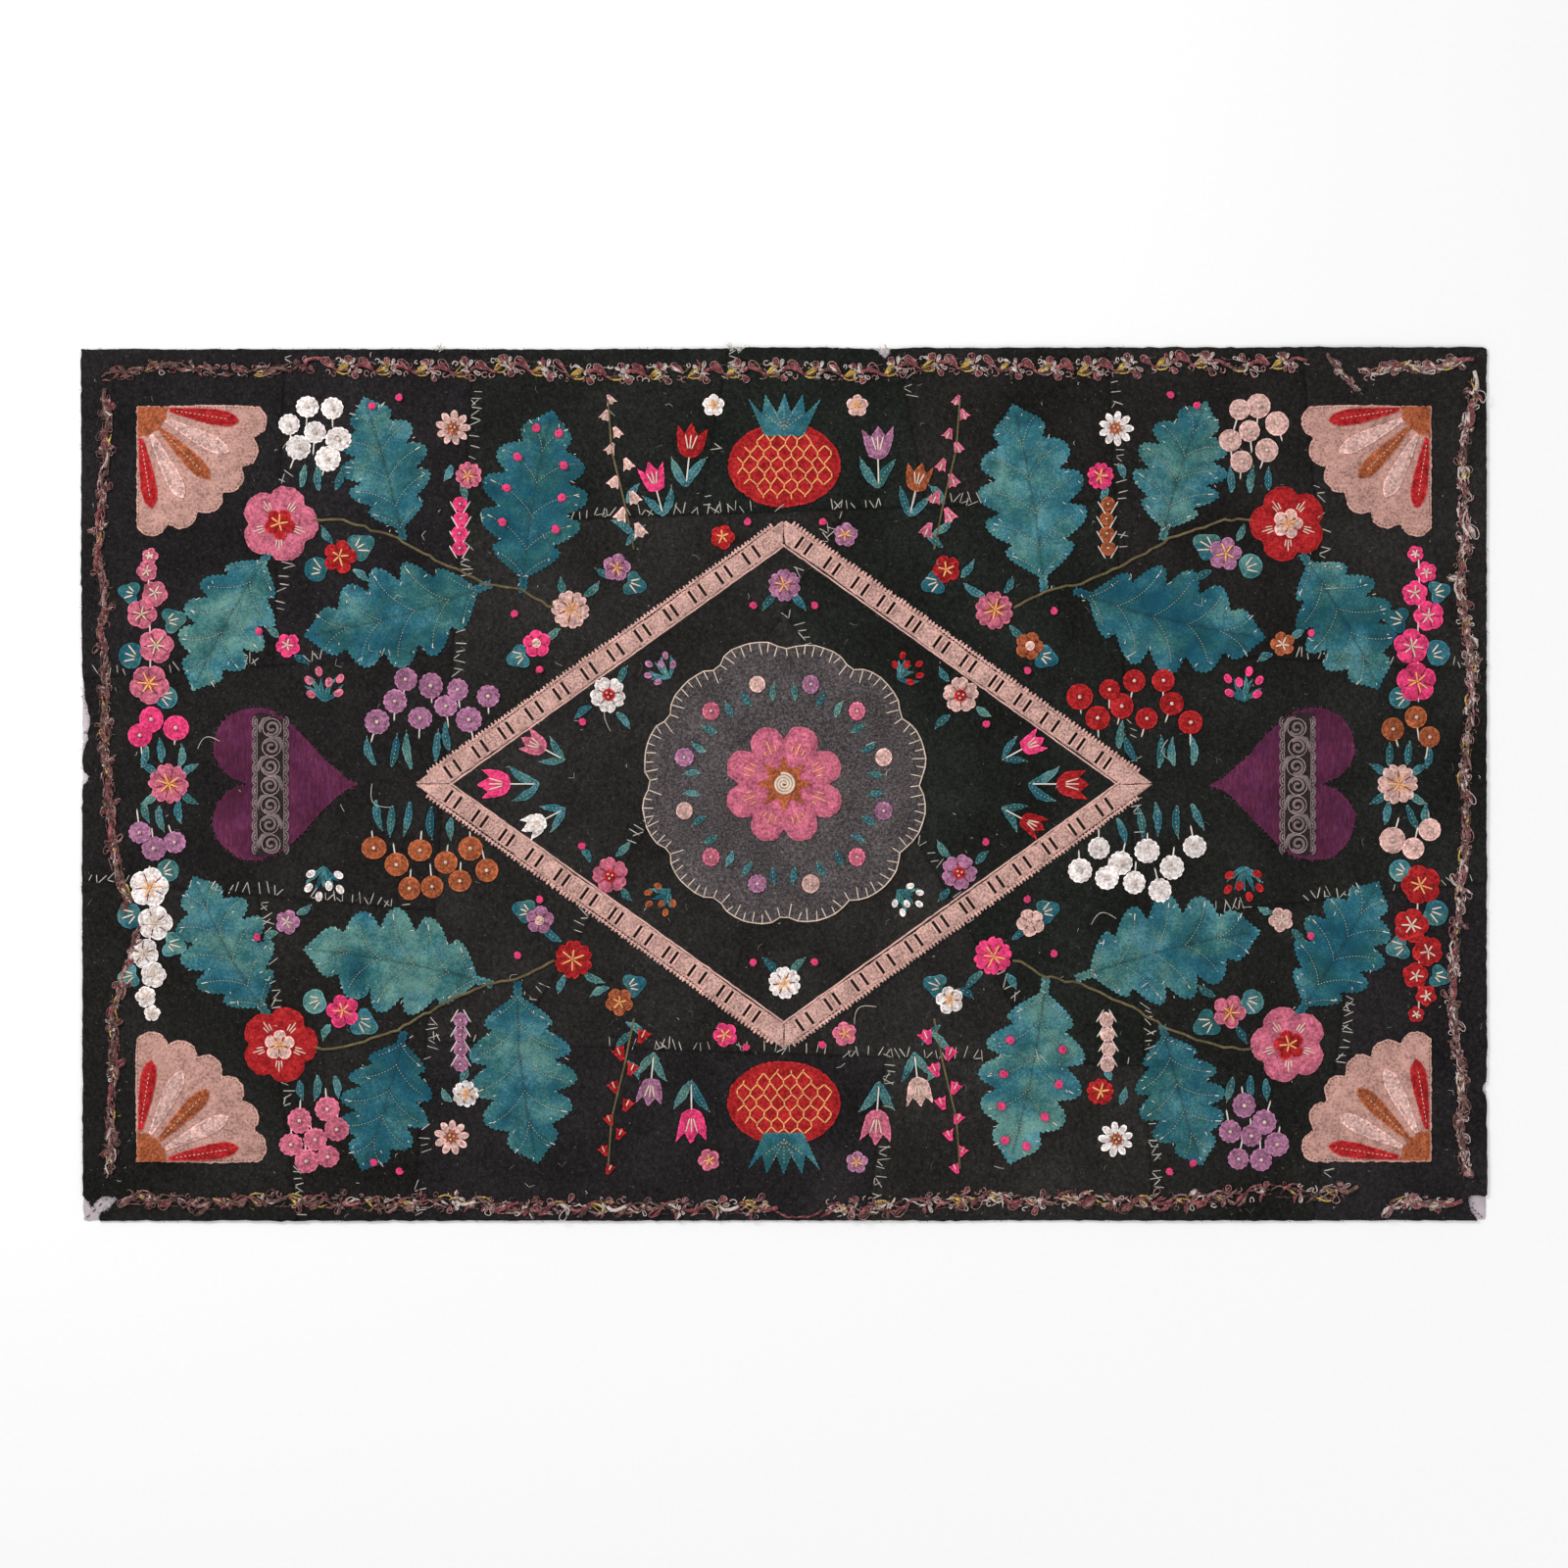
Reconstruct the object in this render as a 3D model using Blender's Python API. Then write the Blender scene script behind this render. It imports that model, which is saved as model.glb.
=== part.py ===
"""Applique rug.

A black felted ground cloth lies on a canvas backing. Both are cut 1.2 m by 0.746 m, a little out of square,
and the ground cloth is worn through along its edges and at two corners, where the canvas shows. Felt, wool,
twill and lace pieces are laid on the ground cloth in up to three layers, and a looped braid runs round the
border in ten lengths. The rug lies flat, with its underside at z = 0 and the origin at its centre.
Sizes are in metres and angles in degrees.
"""

import math
import random

import bpy
from mathutils import Vector

# Overall sizes
RUG_LENGTH = 1.200
RUG_WIDTH = 0.746
CANVAS_INSET = 0.0008
CANVAS_THICKNESS = 0.0010
GROUND_THICKNESS = 0.0020
FELT_THICKNESS = 0.0015
BRAID_THICKNESS = 0.0030
GAP = 0.0003

# Heights of the undersides, from the floor up
GROUND_HEIGHT = CANVAS_THICKNESS + GAP
FIRST_LAYER = GROUND_HEIGHT + GROUND_THICKNESS + GAP
SECOND_LAYER = FIRST_LAYER + FELT_THICKNESS + GAP
THIRD_LAYER = SECOND_LAYER + FELT_THICKNESS + GAP

# The ground cloth's corners and the step where two widths of cloth meet in its top edge
HALF_LENGTH = RUG_LENGTH / 2
HALF_WIDTH = RUG_WIDTH / 2
TOP_LEFT = (-HALF_LENGTH, HALF_WIDTH - 0.0020)
TOP_RIGHT = (HALF_LENGTH - 0.0005, HALF_WIDTH)
BOTTOM_RIGHT = (HALF_LENGTH, -HALF_WIDTH + 0.0005)
BOTTOM_LEFT = (-HALF_LENGTH + 0.0015, -HALF_WIDTH)
TOP_STEP = [(-0.052, HALF_WIDTH - 0.0016), (-0.038, HALF_WIDTH - 0.0004)]
EDGE_SPACING = 0.075
EDGE_WANDER = 0.0005
BITE_MARGIN = 0.0040

# Bites worn into the edges: side, where each starts and ends along the side, and depths evenly spaced between
WORN_BITES = [
    ("left", 0.090, 0.026, (0.001, 0.002, 0.002, 0.004, 0.004, 0.007, 0.006, 0.004, 0.005, 0.002)),
    ("left", 0.011, -0.001, (0.0040, 0.0055, 0.0055, 0.0030)),
    ("top", 0.079, 0.091, (0.0030, 0.0075, 0.0085, 0.0060)),
    ("right", -0.255, -0.267, (0.0038, 0.0045, 0.0035, 0.0020)),
]

# Holes worn through the bottom corners: distances in from the corner, walking clockwise round the rug
WORN_BOTTOM_RIGHT = [
    (0.0000, 0.0195), (0.0050, 0.0215), (0.0105, 0.0212), (0.0145, 0.0222), (0.0172, 0.0180),
    (0.0152, 0.0140), (0.0140, 0.0095), (0.0115, 0.0050), (0.0090, 0.0025), (0.0070, 0.0000),
]
WORN_BOTTOM_LEFT = [
    (0.0130, 0.0000), (0.0140, 0.0050), (0.0155, 0.0075), (0.0225, 0.0105), (0.0245, 0.0135),
    (0.0310, 0.0190), (0.0225, 0.0210), (0.0165, 0.0205), (0.0120, 0.0180), (0.0115, 0.0155),
    (0.0065, 0.0105), (0.0060, 0.0145), (0.0045, 0.0185), (0.0000, 0.0190),
]

# Border braid: one flower each repeat, wide where it is crisp and narrow where it is worn
BRAID_REPEAT = 0.033
CRISP = {"broad": 0.0100, "narrow": 0.0085, "material": "braid_crisp"}
WORN = {"broad": 0.0075, "narrow": 0.0055, "material": "braid_worn"}
TAIL = {"broad": 0.0035, "narrow": 0.0030, "material": "braid_worn"}
BRAID_ROUTES = {
    "top_left": (WORN, [(-0.582, 0.346), (-0.553, 0.353), (-0.525, 0.357), (-0.467, 0.351), (-0.424, 0.354),
                        (-0.400, 0.361)]),
    "top": (CRISP, [(-0.390, 0.356), (-0.266, 0.353), (-0.236, 0.357), (-0.160, 0.350), (-0.003, 0.353),
                    (0.066, 0.350), (0.124, 0.358), (0.253, 0.354), (0.346, 0.361), (0.383, 0.357),
                    (0.440, 0.361)]),
    "tail": (TAIL, [(0.466, 0.364), (0.476, 0.349), (0.490, 0.335)]),
    "top_right": (WORN, [(0.498, 0.350), (0.527, 0.357), (0.550, 0.353), (0.570, 0.360), (0.581, 0.361)]),
    "right": (WORN, [(0.589, 0.346), (0.590, 0.334), (0.582, 0.309), (0.579, 0.278), (0.579, 0.240),
                     (0.582, 0.209), (0.576, 0.174), (0.587, 0.091), (0.579, 0.010), (0.582, -0.035),
                     (0.573, -0.127), (0.570, -0.196), (0.579, -0.260), (0.576, -0.288), (0.582, -0.335)]),
    "bottom_right": (WORN, [(0.570, -0.357), (0.550, -0.359), (0.530, -0.354), (0.515, -0.361)]),
    "bottom_east": (CRISP, [(0.484, -0.345), (0.455, -0.350), (0.420, -0.346), (0.380, -0.352),
                            (0.305, -0.357), (0.253, -0.352), (0.210, -0.357), (0.178, -0.352),
                            (0.080, -0.361), (0.037, -0.361)]),
    "bottom_west": (CRISP, [(-0.012, -0.361), (-0.135, -0.361), (-0.240, -0.361), (-0.268, -0.356),
                            (-0.338, -0.358), (-0.450, -0.354), (-0.496, -0.358), (-0.539, -0.353),
                            (-0.560, -0.352)]),
    "left_low": (WORN, [(-0.576, -0.333), (-0.573, -0.300), (-0.575, -0.280), (-0.571, -0.250),
                        (-0.572, -0.208), (-0.568, -0.179), (-0.559, -0.156), (-0.552, -0.126)]),
    "left": (WORN, [(-0.558, -0.104), (-0.562, -0.093), (-0.571, -0.063), (-0.573, -0.035), (-0.579, 0.033),
                    (-0.579, 0.096), (-0.582, 0.134), (-0.579, 0.162), (-0.585, 0.191), (-0.582, 0.243),
                    (-0.577, 0.307), (-0.579, 0.330)]),
}

# How scissors cut: how far a point strays, and how round the lobes of a scalloped edge are
SCISSOR_WANDER = 0.0006
LOBE_ROUNDNESS = 0.6
CURVE_PARTS = 8

# Middle of the rug
MEDALLION = {"radius": 0.124, "lobes": 12, "depth": 0.07, "steps": 6}
ROSETTE = {"radius": 0.052, "lobes": 8, "depth": 0.26, "steps": 6}
STAR_POINTS = 8
STAR_OUTER = 0.024
STAR_INNER = 0.013
DIAMOND_ACROSS = 0.300
DIAMOND_UP = 0.215
LACE_WIDTH = 0.017
LACE_STEPS = 8

# A twill heart at each end, its point to the middle, with a lace band across it
HEART_TIP = 0.362
HEART_LENGTH = 0.125
HEART_WIDTH = 0.130
HEART_STEPS = 44
HEART_SHARPNESS = 0.30
BAND_FROM = 0.424
BAND_TO = 0.451
BAND_REACH = 0.96

# A pomegranate above and below, with a crown towards the edge
POMEGRANATE_CENTRE = 0.272
POMEGRANATE_HALF_WIDTH = 0.048
POMEGRANATE_HALF_HEIGHT = 0.036
POMEGRANATE_STEPS = 30
CROWN_BASE = 0.297
CROWN_TOP = 0.333
CROWN_BASE_HALF = 0.017
CROWN_TOP_HALF = 0.031
CROWN_POINTS = 5
CROWN_NOTCH = 0.55

# A quarter fan in each corner of the field
FAN_CORNER = (0.552, 0.322)
FAN_RADIUS = 0.112
FAN_SCALLOPS = 6
FAN_DEPTH = 0.07
FAN_STEPS = 4

# One blossom and four lobed leaves in each quarter; the north-east quarter's places are mirrored
BLOSSOM = {"radius": 0.033, "lobes": 5, "depth": 0.20, "steps": 6}
BLOSSOM_CENTRE = (0.430, 0.222)
LEAVES = {
    "a": {"base": (0.225, 0.166), "heading": 98, "length": 0.158, "width": 0.098, "bend": 12},
    "b": {"base": (0.325, 0.208), "heading": 72, "length": 0.126, "width": 0.082, "bend": -12},
    "c": {"base": (0.250, 0.168), "heading": -14, "length": 0.164, "width": 0.094, "bend": 10},
    "d": {"base": (0.440, 0.198), "heading": -60, "length": 0.134, "width": 0.084, "bend": -10},
}
LEAF_LOBES = 5
LEAF_LOBE_STEPS = 4
LEAF_STALK = 0.09
LEAF_STALK_HALF = 0.0035
LEAF_SINUS = 0.60
LEAF_LEAN = 0.25
LEAF_LOBE_ROUNDNESS = 0.7
LEAF_FULLNESS = 0.7
LEAF_BROADEST = 0.85

QUARTERS = {"ne": (1, 1), "nw": (-1, 1), "sw": (-1, -1), "se": (1, -1)}
LEAF_MATERIALS = {
    "ne": ("teal_mid", "teal_soft", "teal_deep", "teal_mid"),
    "nw": ("teal_deep", "teal_mid", "teal_mid", "teal_soft"),
    "sw": ("teal_mid", "teal_deep", "teal_soft", "teal_mid"),
    "se": ("teal_soft", "teal_mid", "teal_mid", "teal_deep"),
}
BLOSSOM_MATERIALS = {"ne": "red_felt", "nw": "rose_felt", "sw": "red_felt", "se": "rose_felt"}

# Base colour and roughness of each material
MATERIALS = {
    "canvas": ((0.52, 0.45, 0.49), 0.90),
    "black_wool": ((0.020, 0.019, 0.018), 0.95),
    "teal_deep": ((0.022, 0.105, 0.140), 0.90),
    "teal_mid": ((0.035, 0.140, 0.180), 0.90),
    "teal_soft": ((0.055, 0.168, 0.190), 0.90),
    "charcoal_felt": ((0.070, 0.060, 0.061), 0.95),
    "purple_twill": ((0.095, 0.020, 0.055), 0.85),
    "grey_lace": ((0.112, 0.080, 0.084), 0.80),
    "pink_lace": ((0.640, 0.400, 0.350), 0.80),
    "red_felt": ((0.440, 0.022, 0.026), 0.92),
    "rose_felt": ((0.620, 0.250, 0.270), 0.92),
    "orange_felt": ((0.370, 0.100, 0.040), 0.92),
    "taupe_felt": ((0.460, 0.330, 0.290), 0.90),
    "braid_crisp": ((0.230, 0.060, 0.080), 0.80),
    "braid_worn": ((0.150, 0.070, 0.085), 0.90),
}


def make_materials():
    """One Principled material for each cloth."""
    made = {}
    for name, (colour, roughness) in MATERIALS.items():
        material = bpy.data.materials.new(name)
        material.use_nodes = True
        shader = material.node_tree.nodes["Principled BSDF"]
        shader.inputs["Base Color"].default_value = (*colour, 1.0)
        shader.inputs["Roughness"].default_value = roughness
        shader.inputs["Metallic"].default_value = 0.0
        material.diffuse_color = (*colour, 1.0)
        made[name] = material
    return made


class Maker:
    """Places flat pieces of cloth in the rug's collection."""

    def __init__(self):
        self.collection = bpy.data.collections.new("applique_rug")
        bpy.context.scene.collection.children.link(self.collection)
        self.materials = make_materials()

    def piece(self, name, outline, height, thickness, material):
        """One solid: a closed outline in plan, filled and extruded to its thickness."""
        curve = bpy.data.curves.new(name, "CURVE")
        curve.dimensions = "2D"
        curve.fill_mode = "BOTH"
        curve.extrude = thickness / 2
        spline = curve.splines.new("POLY")
        spline.points.add(len(outline) - 1)
        for point, place in zip(spline.points, outline):
            point.co = (place[0], place[1], 0, 1)
        spline.use_cyclic_u = True
        curve.materials.append(self.materials[material])
        cloth = bpy.data.objects.new(name, curve)
        cloth.location.z = height + thickness / 2
        self.collection.objects.link(cloth)

    def felt(self, name, outline, height, material):
        """A piece of the usual felt thickness."""
        self.piece(name, outline, height, FELT_THICKNESS, material)


def mirrored(outline, signs):
    """The outline carried into another quarter, still walked the same way round."""
    moved = [(x * signs[0], y * signs[1]) for x, y in outline]
    if signs[0] * signs[1] < 0:
        moved.reverse()
    return moved


def smooth_walk(route, step):
    """Points evenly spaced along a smooth curve through the route, each with the direction to its left."""
    places = [Vector(place) for place in route]
    padded = [2 * places[0] - places[1], *places, 2 * places[-1] - places[-2]]
    fine = []
    for before, start, end, after in zip(padded, padded[1:], padded[2:], padded[3:]):
        for part in range(CURVE_PARTS):
            t = part / CURVE_PARTS
            slope = end - before
            bend = 2 * before - 5 * start + 4 * end - after
            twist = 3 * start - before - 3 * end + after
            fine.append(0.5 * (2 * start + slope * t + bend * t ** 2 + twist * t ** 3))
    fine.append(places[-1])
    lengths = [0.0]
    for start, end in zip(fine, fine[1:]):
        lengths.append(lengths[-1] + (end - start).length)
    count = max(2, round(lengths[-1] / step))
    walk = []
    leg = 0
    for index in range(count + 1):
        target = lengths[-1] * index / count
        while leg < len(fine) - 2 and lengths[leg + 1] < target:
            leg += 1
        along = fine[leg + 1] - fine[leg]
        share = (target - lengths[leg]) / along.length
        direction = along.normalized()
        walk.append((fine[leg] + along * share, Vector((-direction.y, direction.x))))
    return walk


def hand_cut(outline, rng):
    """The outline as scissors leave it, each point a little off its place."""
    off = SCISSOR_WANDER
    return [(x + rng.uniform(-off, off), y + rng.uniform(-off, off)) for x, y in outline]


def lobed_disc(centre, shape, rng):
    """A round with evenly spaced lobes, each cut a little differently."""
    outline = []
    for lobe in range(shape["lobes"]):
        size = shape["radius"] * rng.uniform(0.97, 1.0)
        for step in range(shape["steps"]):
            share = step / shape["steps"]
            angle = 2 * math.pi * (lobe + share) / shape["lobes"]
            reach = size * (1 - shape["depth"] * (1 - math.sin(math.pi * share) ** LOBE_ROUNDNESS))
            outline.append((centre[0] + reach * math.cos(angle), centre[1] + reach * math.sin(angle)))
    return outline


# Canvas and ground cloth

def edge_line(start, end, rng):
    """Points from one corner towards the next, wandering a little to the inside."""
    start = Vector(start)
    end = Vector(end)
    along = (end - start).normalized()
    inward = Vector((along.y, -along.x))
    count = round((end - start).length / EDGE_SPACING)
    points = [start]
    for index in range(1, count):
        points.append(start.lerp(end, index / count) + inward * rng.uniform(0, EDGE_WANDER))
    return points


def bitten(points, side):
    """The side's points with its worn bites let in, in walking order."""
    axis = 0 if side == "top" else 1
    inward = {"left": Vector((1, 0)), "top": Vector((0, -1)), "right": Vector((-1, 0))}[side]
    for name, start, end, depths in WORN_BITES:
        if name != side:
            continue
        low, high = min(start, end), max(start, end)
        kept = [point for point in points if not low - BITE_MARGIN < point[axis] < high + BITE_MARGIN]
        edge = points[0][1 - axis]
        bite = []
        for index, depth in enumerate((0, *depths, 0)):
            place = start + (end - start) * index / (len(depths) + 1)
            bite.append((Vector((place, edge)) if axis == 0 else Vector((edge, place))) + inward * depth)
        falling = points[0][axis] > points[-1][axis]
        points = sorted(kept + bite, key=lambda point: point[axis], reverse=falling)
    return points


def ground_outline(rng):
    """The ground cloth's outline, walked clockwise from its bottom left corner."""
    left = edge_line(BOTTOM_LEFT, TOP_LEFT, rng)[1:]
    top = edge_line(TOP_LEFT, TOP_STEP[0], rng) + edge_line(TOP_STEP[0], TOP_STEP[1], rng)
    top += edge_line(TOP_STEP[1], TOP_RIGHT, rng)
    right = edge_line(TOP_RIGHT, BOTTOM_RIGHT, rng)
    bottom = edge_line(BOTTOM_RIGHT, BOTTOM_LEFT, rng)[1:]
    worn_right = [(BOTTOM_RIGHT[0] - x, BOTTOM_RIGHT[1] + y) for x, y in WORN_BOTTOM_RIGHT]
    worn_left = [(BOTTOM_LEFT[0] + x, BOTTOM_LEFT[1] + y) for x, y in WORN_BOTTOM_LEFT]
    outline = bitten(left, "left") + bitten(top, "top") + bitten(right, "right")
    return outline + worn_right + bottom + worn_left


def canvas_outline():
    """The canvas stops just inside the ground cloth's straight edges."""
    corners = (BOTTOM_LEFT, TOP_LEFT, *TOP_STEP, TOP_RIGHT, BOTTOM_RIGHT)
    return [(x - math.copysign(CANVAS_INSET, x), y - math.copysign(CANVAS_INSET, y)) for x, y in corners]


def make_base(maker, rng):
    maker.piece("backing_canvas", canvas_outline(), 0, CANVAS_THICKNESS, "canvas")
    maker.piece("ground_cloth", ground_outline(rng), GROUND_HEIGHT, GROUND_THICKNESS, "black_wool")


# Border braid

def braid_outline(route, broad, narrow):
    """Both edges of a braid laid along its route, broad at each flower and narrow between."""
    left = []
    right = []
    for index, (place, across) in enumerate(smooth_walk(route, BRAID_REPEAT / 2)):
        half = broad if index % 2 == 0 else narrow
        left.append(place + across * half)
        right.append(place - across * half)
    return right + left[::-1]


def make_braid(maker):
    for name, (style, route) in BRAID_ROUTES.items():
        outline = braid_outline(route, style["broad"], style["narrow"])
        maker.piece(f"braid_{name}", outline, FIRST_LAYER, BRAID_THICKNESS, style["material"])


# Medallion and the lace diamond round it

def make_medallion(maker, rng):
    maker.felt("medallion", lobed_disc((0, 0), MEDALLION, rng), FIRST_LAYER, "charcoal_felt")
    maker.felt("rosette", lobed_disc((0, 0), ROSETTE, rng), SECOND_LAYER, "rose_felt")
    star = []
    for index in range(2 * STAR_POINTS):
        angle = math.pi * index / STAR_POINTS
        reach = STAR_OUTER if index % 2 == 0 else STAR_INNER
        star.append((reach * math.cos(angle), reach * math.sin(angle)))
    maker.felt("rosette_star", star, THIRD_LAYER, "orange_felt")


def lace_outline(rng):
    """One side of the diamond in the north-east quarter, mitred on the rug's two centre lines."""
    side = math.hypot(DIAMOND_ACROSS, DIAMOND_UP)
    outer = 1 + LACE_WIDTH / 2 * side / (DIAMOND_ACROSS * DIAMOND_UP)
    inner = 2 - outer
    edges = []
    for size in (outer, inner):
        start = Vector((DIAMOND_ACROSS * size, GAP))
        end = Vector((GAP, DIAMOND_UP * size))
        edges.append([start.lerp(end, step / LACE_STEPS) for step in range(LACE_STEPS + 1)])
    out = Vector((DIAMOND_UP, DIAMOND_ACROSS)) / side
    for step in range(1, LACE_STEPS):
        shift = out * rng.uniform(-0.0010, 0.0010)
        for edge in edges:
            edge[step] += shift
    return edges[0] + edges[1][::-1]


def make_lace_diamond(maker, rng):
    for quarter, signs in QUARTERS.items():
        maker.felt(f"lace_{quarter}", mirrored(lace_outline(rng), signs), FIRST_LAYER, "pink_lace")


# Hearts, pomegranates and fans

def heart_outline():
    """A heart lying along X with its point towards the middle of the rug."""
    outline = []
    for step in range(HEART_STEPS):
        t = 2 * math.pi * step / HEART_STEPS
        if step % (HEART_STEPS // 2) and abs(math.sin(t)) < HEART_SHARPNESS:
            continue  # points crowd together beside the tip and the cleft
        across = 16 * math.sin(t) ** 3
        along = 13 * math.cos(t) - 5 * math.cos(2 * t) - 2 * math.cos(3 * t) - math.cos(4 * t)
        outline.append((HEART_TIP + (along + 17) * HEART_LENGTH / 29, across * HEART_WIDTH / 32))
    return outline


def make_hearts(maker, rng):
    outline = heart_outline()
    band = [(x, y * BAND_REACH) for x, y in outline if BAND_FROM < x < BAND_TO]
    upper = sorted((place for place in band if place[1] > 0), reverse=True)
    lower = sorted(place for place in band if place[1] < 0)
    band = [(BAND_TO, upper[0][1]), *upper, (BAND_FROM, upper[-1][1]),
            (BAND_FROM, lower[0][1]), *lower, (BAND_TO, lower[-1][1])]
    for end, signs in {"east": (1, 1), "west": (-1, 1)}.items():
        heart = hand_cut(mirrored(outline, signs), rng)
        maker.felt(f"heart_{end}", heart, FIRST_LAYER, "purple_twill")
        maker.felt(f"heart_band_{end}", hand_cut(mirrored(band, signs), rng), SECOND_LAYER, "grey_lace")


def crown_outline():
    """A splayed crown with pointed tips along its top."""
    outline = [(CROWN_BASE_HALF, CROWN_BASE)]
    height = CROWN_TOP - CROWN_BASE
    for index in range(2 * CROWN_POINTS - 1):
        share = 1 - index / (CROWN_POINTS - 1)
        reach = 1.0 if index % 2 == 0 else CROWN_NOTCH
        half = CROWN_BASE_HALF + (CROWN_TOP_HALF - CROWN_BASE_HALF) * reach
        lift = reach * (1 - 0.12 * share ** 2)
        outline.append((half * share, CROWN_BASE + height * lift))
    outline.append((-CROWN_BASE_HALF, CROWN_BASE))
    return outline


def make_pomegranates(maker, rng):
    fruit = []
    for step in range(POMEGRANATE_STEPS):
        angle = 2 * math.pi * step / POMEGRANATE_STEPS
        fruit.append((POMEGRANATE_HALF_WIDTH * math.cos(angle),
                      POMEGRANATE_CENTRE + POMEGRANATE_HALF_HEIGHT * math.sin(angle)))
    for end, signs in {"north": (1, 1), "south": (1, -1)}.items():
        cut = hand_cut(mirrored(fruit, signs), rng)
        maker.felt(f"pomegranate_{end}", cut, FIRST_LAYER, "red_felt")
        crown = hand_cut(mirrored(crown_outline(), signs), rng)
        maker.felt(f"crown_{end}", crown, SECOND_LAYER, "teal_mid")


def fan_outline(rng):
    """A quarter round with a scalloped rim, its square corner towards the corner of the rug."""
    outline = [FAN_CORNER]
    steps = FAN_SCALLOPS * FAN_STEPS
    for step in range(steps + 1):
        share = step / steps
        angle = math.pi * (1 + share / 2)
        scallop = abs(math.sin(math.pi * FAN_SCALLOPS * share)) ** LOBE_ROUNDNESS
        reach = FAN_RADIUS * (1 - FAN_DEPTH * (1 - scallop)) * rng.uniform(0.99, 1.0)
        outline.append((FAN_CORNER[0] + reach * math.cos(angle), FAN_CORNER[1] + reach * math.sin(angle)))
    return outline


def make_fans(maker, rng):
    for quarter, signs in QUARTERS.items():
        maker.felt(f"fan_{quarter}", mirrored(fan_outline(rng), signs), FIRST_LAYER, "taupe_felt")


# Leaves and blossoms

def leaf_outline(leaf, rng):
    """A lobed leaf on a short stalk: half-widths set off both sides of a bent midrib."""
    heading = math.radians(leaf["heading"] + rng.uniform(-3, 3))
    bend = math.radians(leaf["bend"] + rng.uniform(-5, 5))
    length = leaf["length"] * rng.uniform(0.96, 1.02)
    half_width = leaf["width"] / 2 * rng.uniform(0.95, 1.02)
    steps = LEAF_LOBES * LEAF_LOBE_STEPS
    shares = [0.0] + [LEAF_STALK + (1 - LEAF_STALK) * step / steps for step in range(steps + 1)]
    place = Vector(leaf["base"]) + Vector((rng.uniform(-0.003, 0.003), rng.uniform(-0.003, 0.003)))
    left = []
    right = []
    for index, share in enumerate(shares):
        turn = heading + bend * (share - 0.5)
        along = Vector((math.cos(turn), math.sin(turn)))
        across = Vector((-along.y, along.x))
        if index:
            place = place + along * length * (share - shares[index - 1])
        blade = max(0.0, (share - LEAF_STALK) / (1 - LEAF_STALK))
        for side, edge in ((1, left), (-1, right)):
            lobe = abs(math.sin(math.pi * LEAF_LOBES * blade)) ** LEAF_LOBE_ROUNDNESS
            envelope = math.sin(math.pi * min(1.0, blade) ** LEAF_BROADEST)
            envelope = max(0.0, envelope) ** LEAF_FULLNESS
            half = half_width * envelope * (LEAF_SINUS + (1 - LEAF_SINUS) * lobe * rng.uniform(0.9, 1.0))
            lean = LEAF_LEAN * half * lobe * (1 - LEAF_SINUS)
            edge.append(place + across * side * max(half, LEAF_STALK_HALF) + along * lean)
    tip = 0.5 * (left[-1] + right[-1]) + along * LEAF_STALK_HALF
    return right[:-1] + [tip] + left[-2::-1]


def make_sprays(maker, rng):
    for quarter, signs in QUARTERS.items():
        for (letter, leaf), material in zip(LEAVES.items(), LEAF_MATERIALS[quarter]):
            outline = mirrored(leaf_outline(leaf, rng), signs)
            maker.felt(f"leaf_{quarter}_{letter}", outline, FIRST_LAYER, material)
        blossom = mirrored(lobed_disc(BLOSSOM_CENTRE, BLOSSOM, rng), signs)
        maker.felt(f"blossom_{quarter}", blossom, SECOND_LAYER, BLOSSOM_MATERIALS[quarter])


def main():
    for leftover in list(bpy.data.objects):
        bpy.data.objects.remove(leftover, do_unlink=True)
    rng = random.Random(7)
    maker = Maker()
    make_base(maker, rng)
    make_braid(maker)
    make_medallion(maker, rng)
    make_lace_diamond(maker, rng)
    make_hearts(maker, rng)
    make_pomegranates(maker, rng)
    make_fans(maker, rng)
    make_sprays(maker, rng)


main()
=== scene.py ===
"""Applique rug: cloth, felt, braid and stitches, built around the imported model.

Laid out as an add-on and run as a script.
"""

import math
import zlib

import bmesh
import bpy
import numpy as np
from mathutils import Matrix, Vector
from mathutils.bvhtree import BVHTree


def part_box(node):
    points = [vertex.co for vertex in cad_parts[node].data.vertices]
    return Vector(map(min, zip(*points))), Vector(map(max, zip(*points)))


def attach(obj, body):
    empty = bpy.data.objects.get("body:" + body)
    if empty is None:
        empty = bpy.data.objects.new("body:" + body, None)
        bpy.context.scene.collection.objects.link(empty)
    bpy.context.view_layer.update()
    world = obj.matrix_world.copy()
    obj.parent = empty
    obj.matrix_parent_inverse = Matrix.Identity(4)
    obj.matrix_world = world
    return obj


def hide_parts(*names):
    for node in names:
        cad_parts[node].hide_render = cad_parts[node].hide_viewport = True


bl_info = {
    "name": "Applique Rug",
    "version": (1, 0, 0),
    "blender": (4, 5, 0),
    "location": "View3D > Sidebar > Rug",
    "description": "Builds a felt applique hearth rug, with its braid, flowers and stitches",
    "category": "Object",
}

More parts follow.
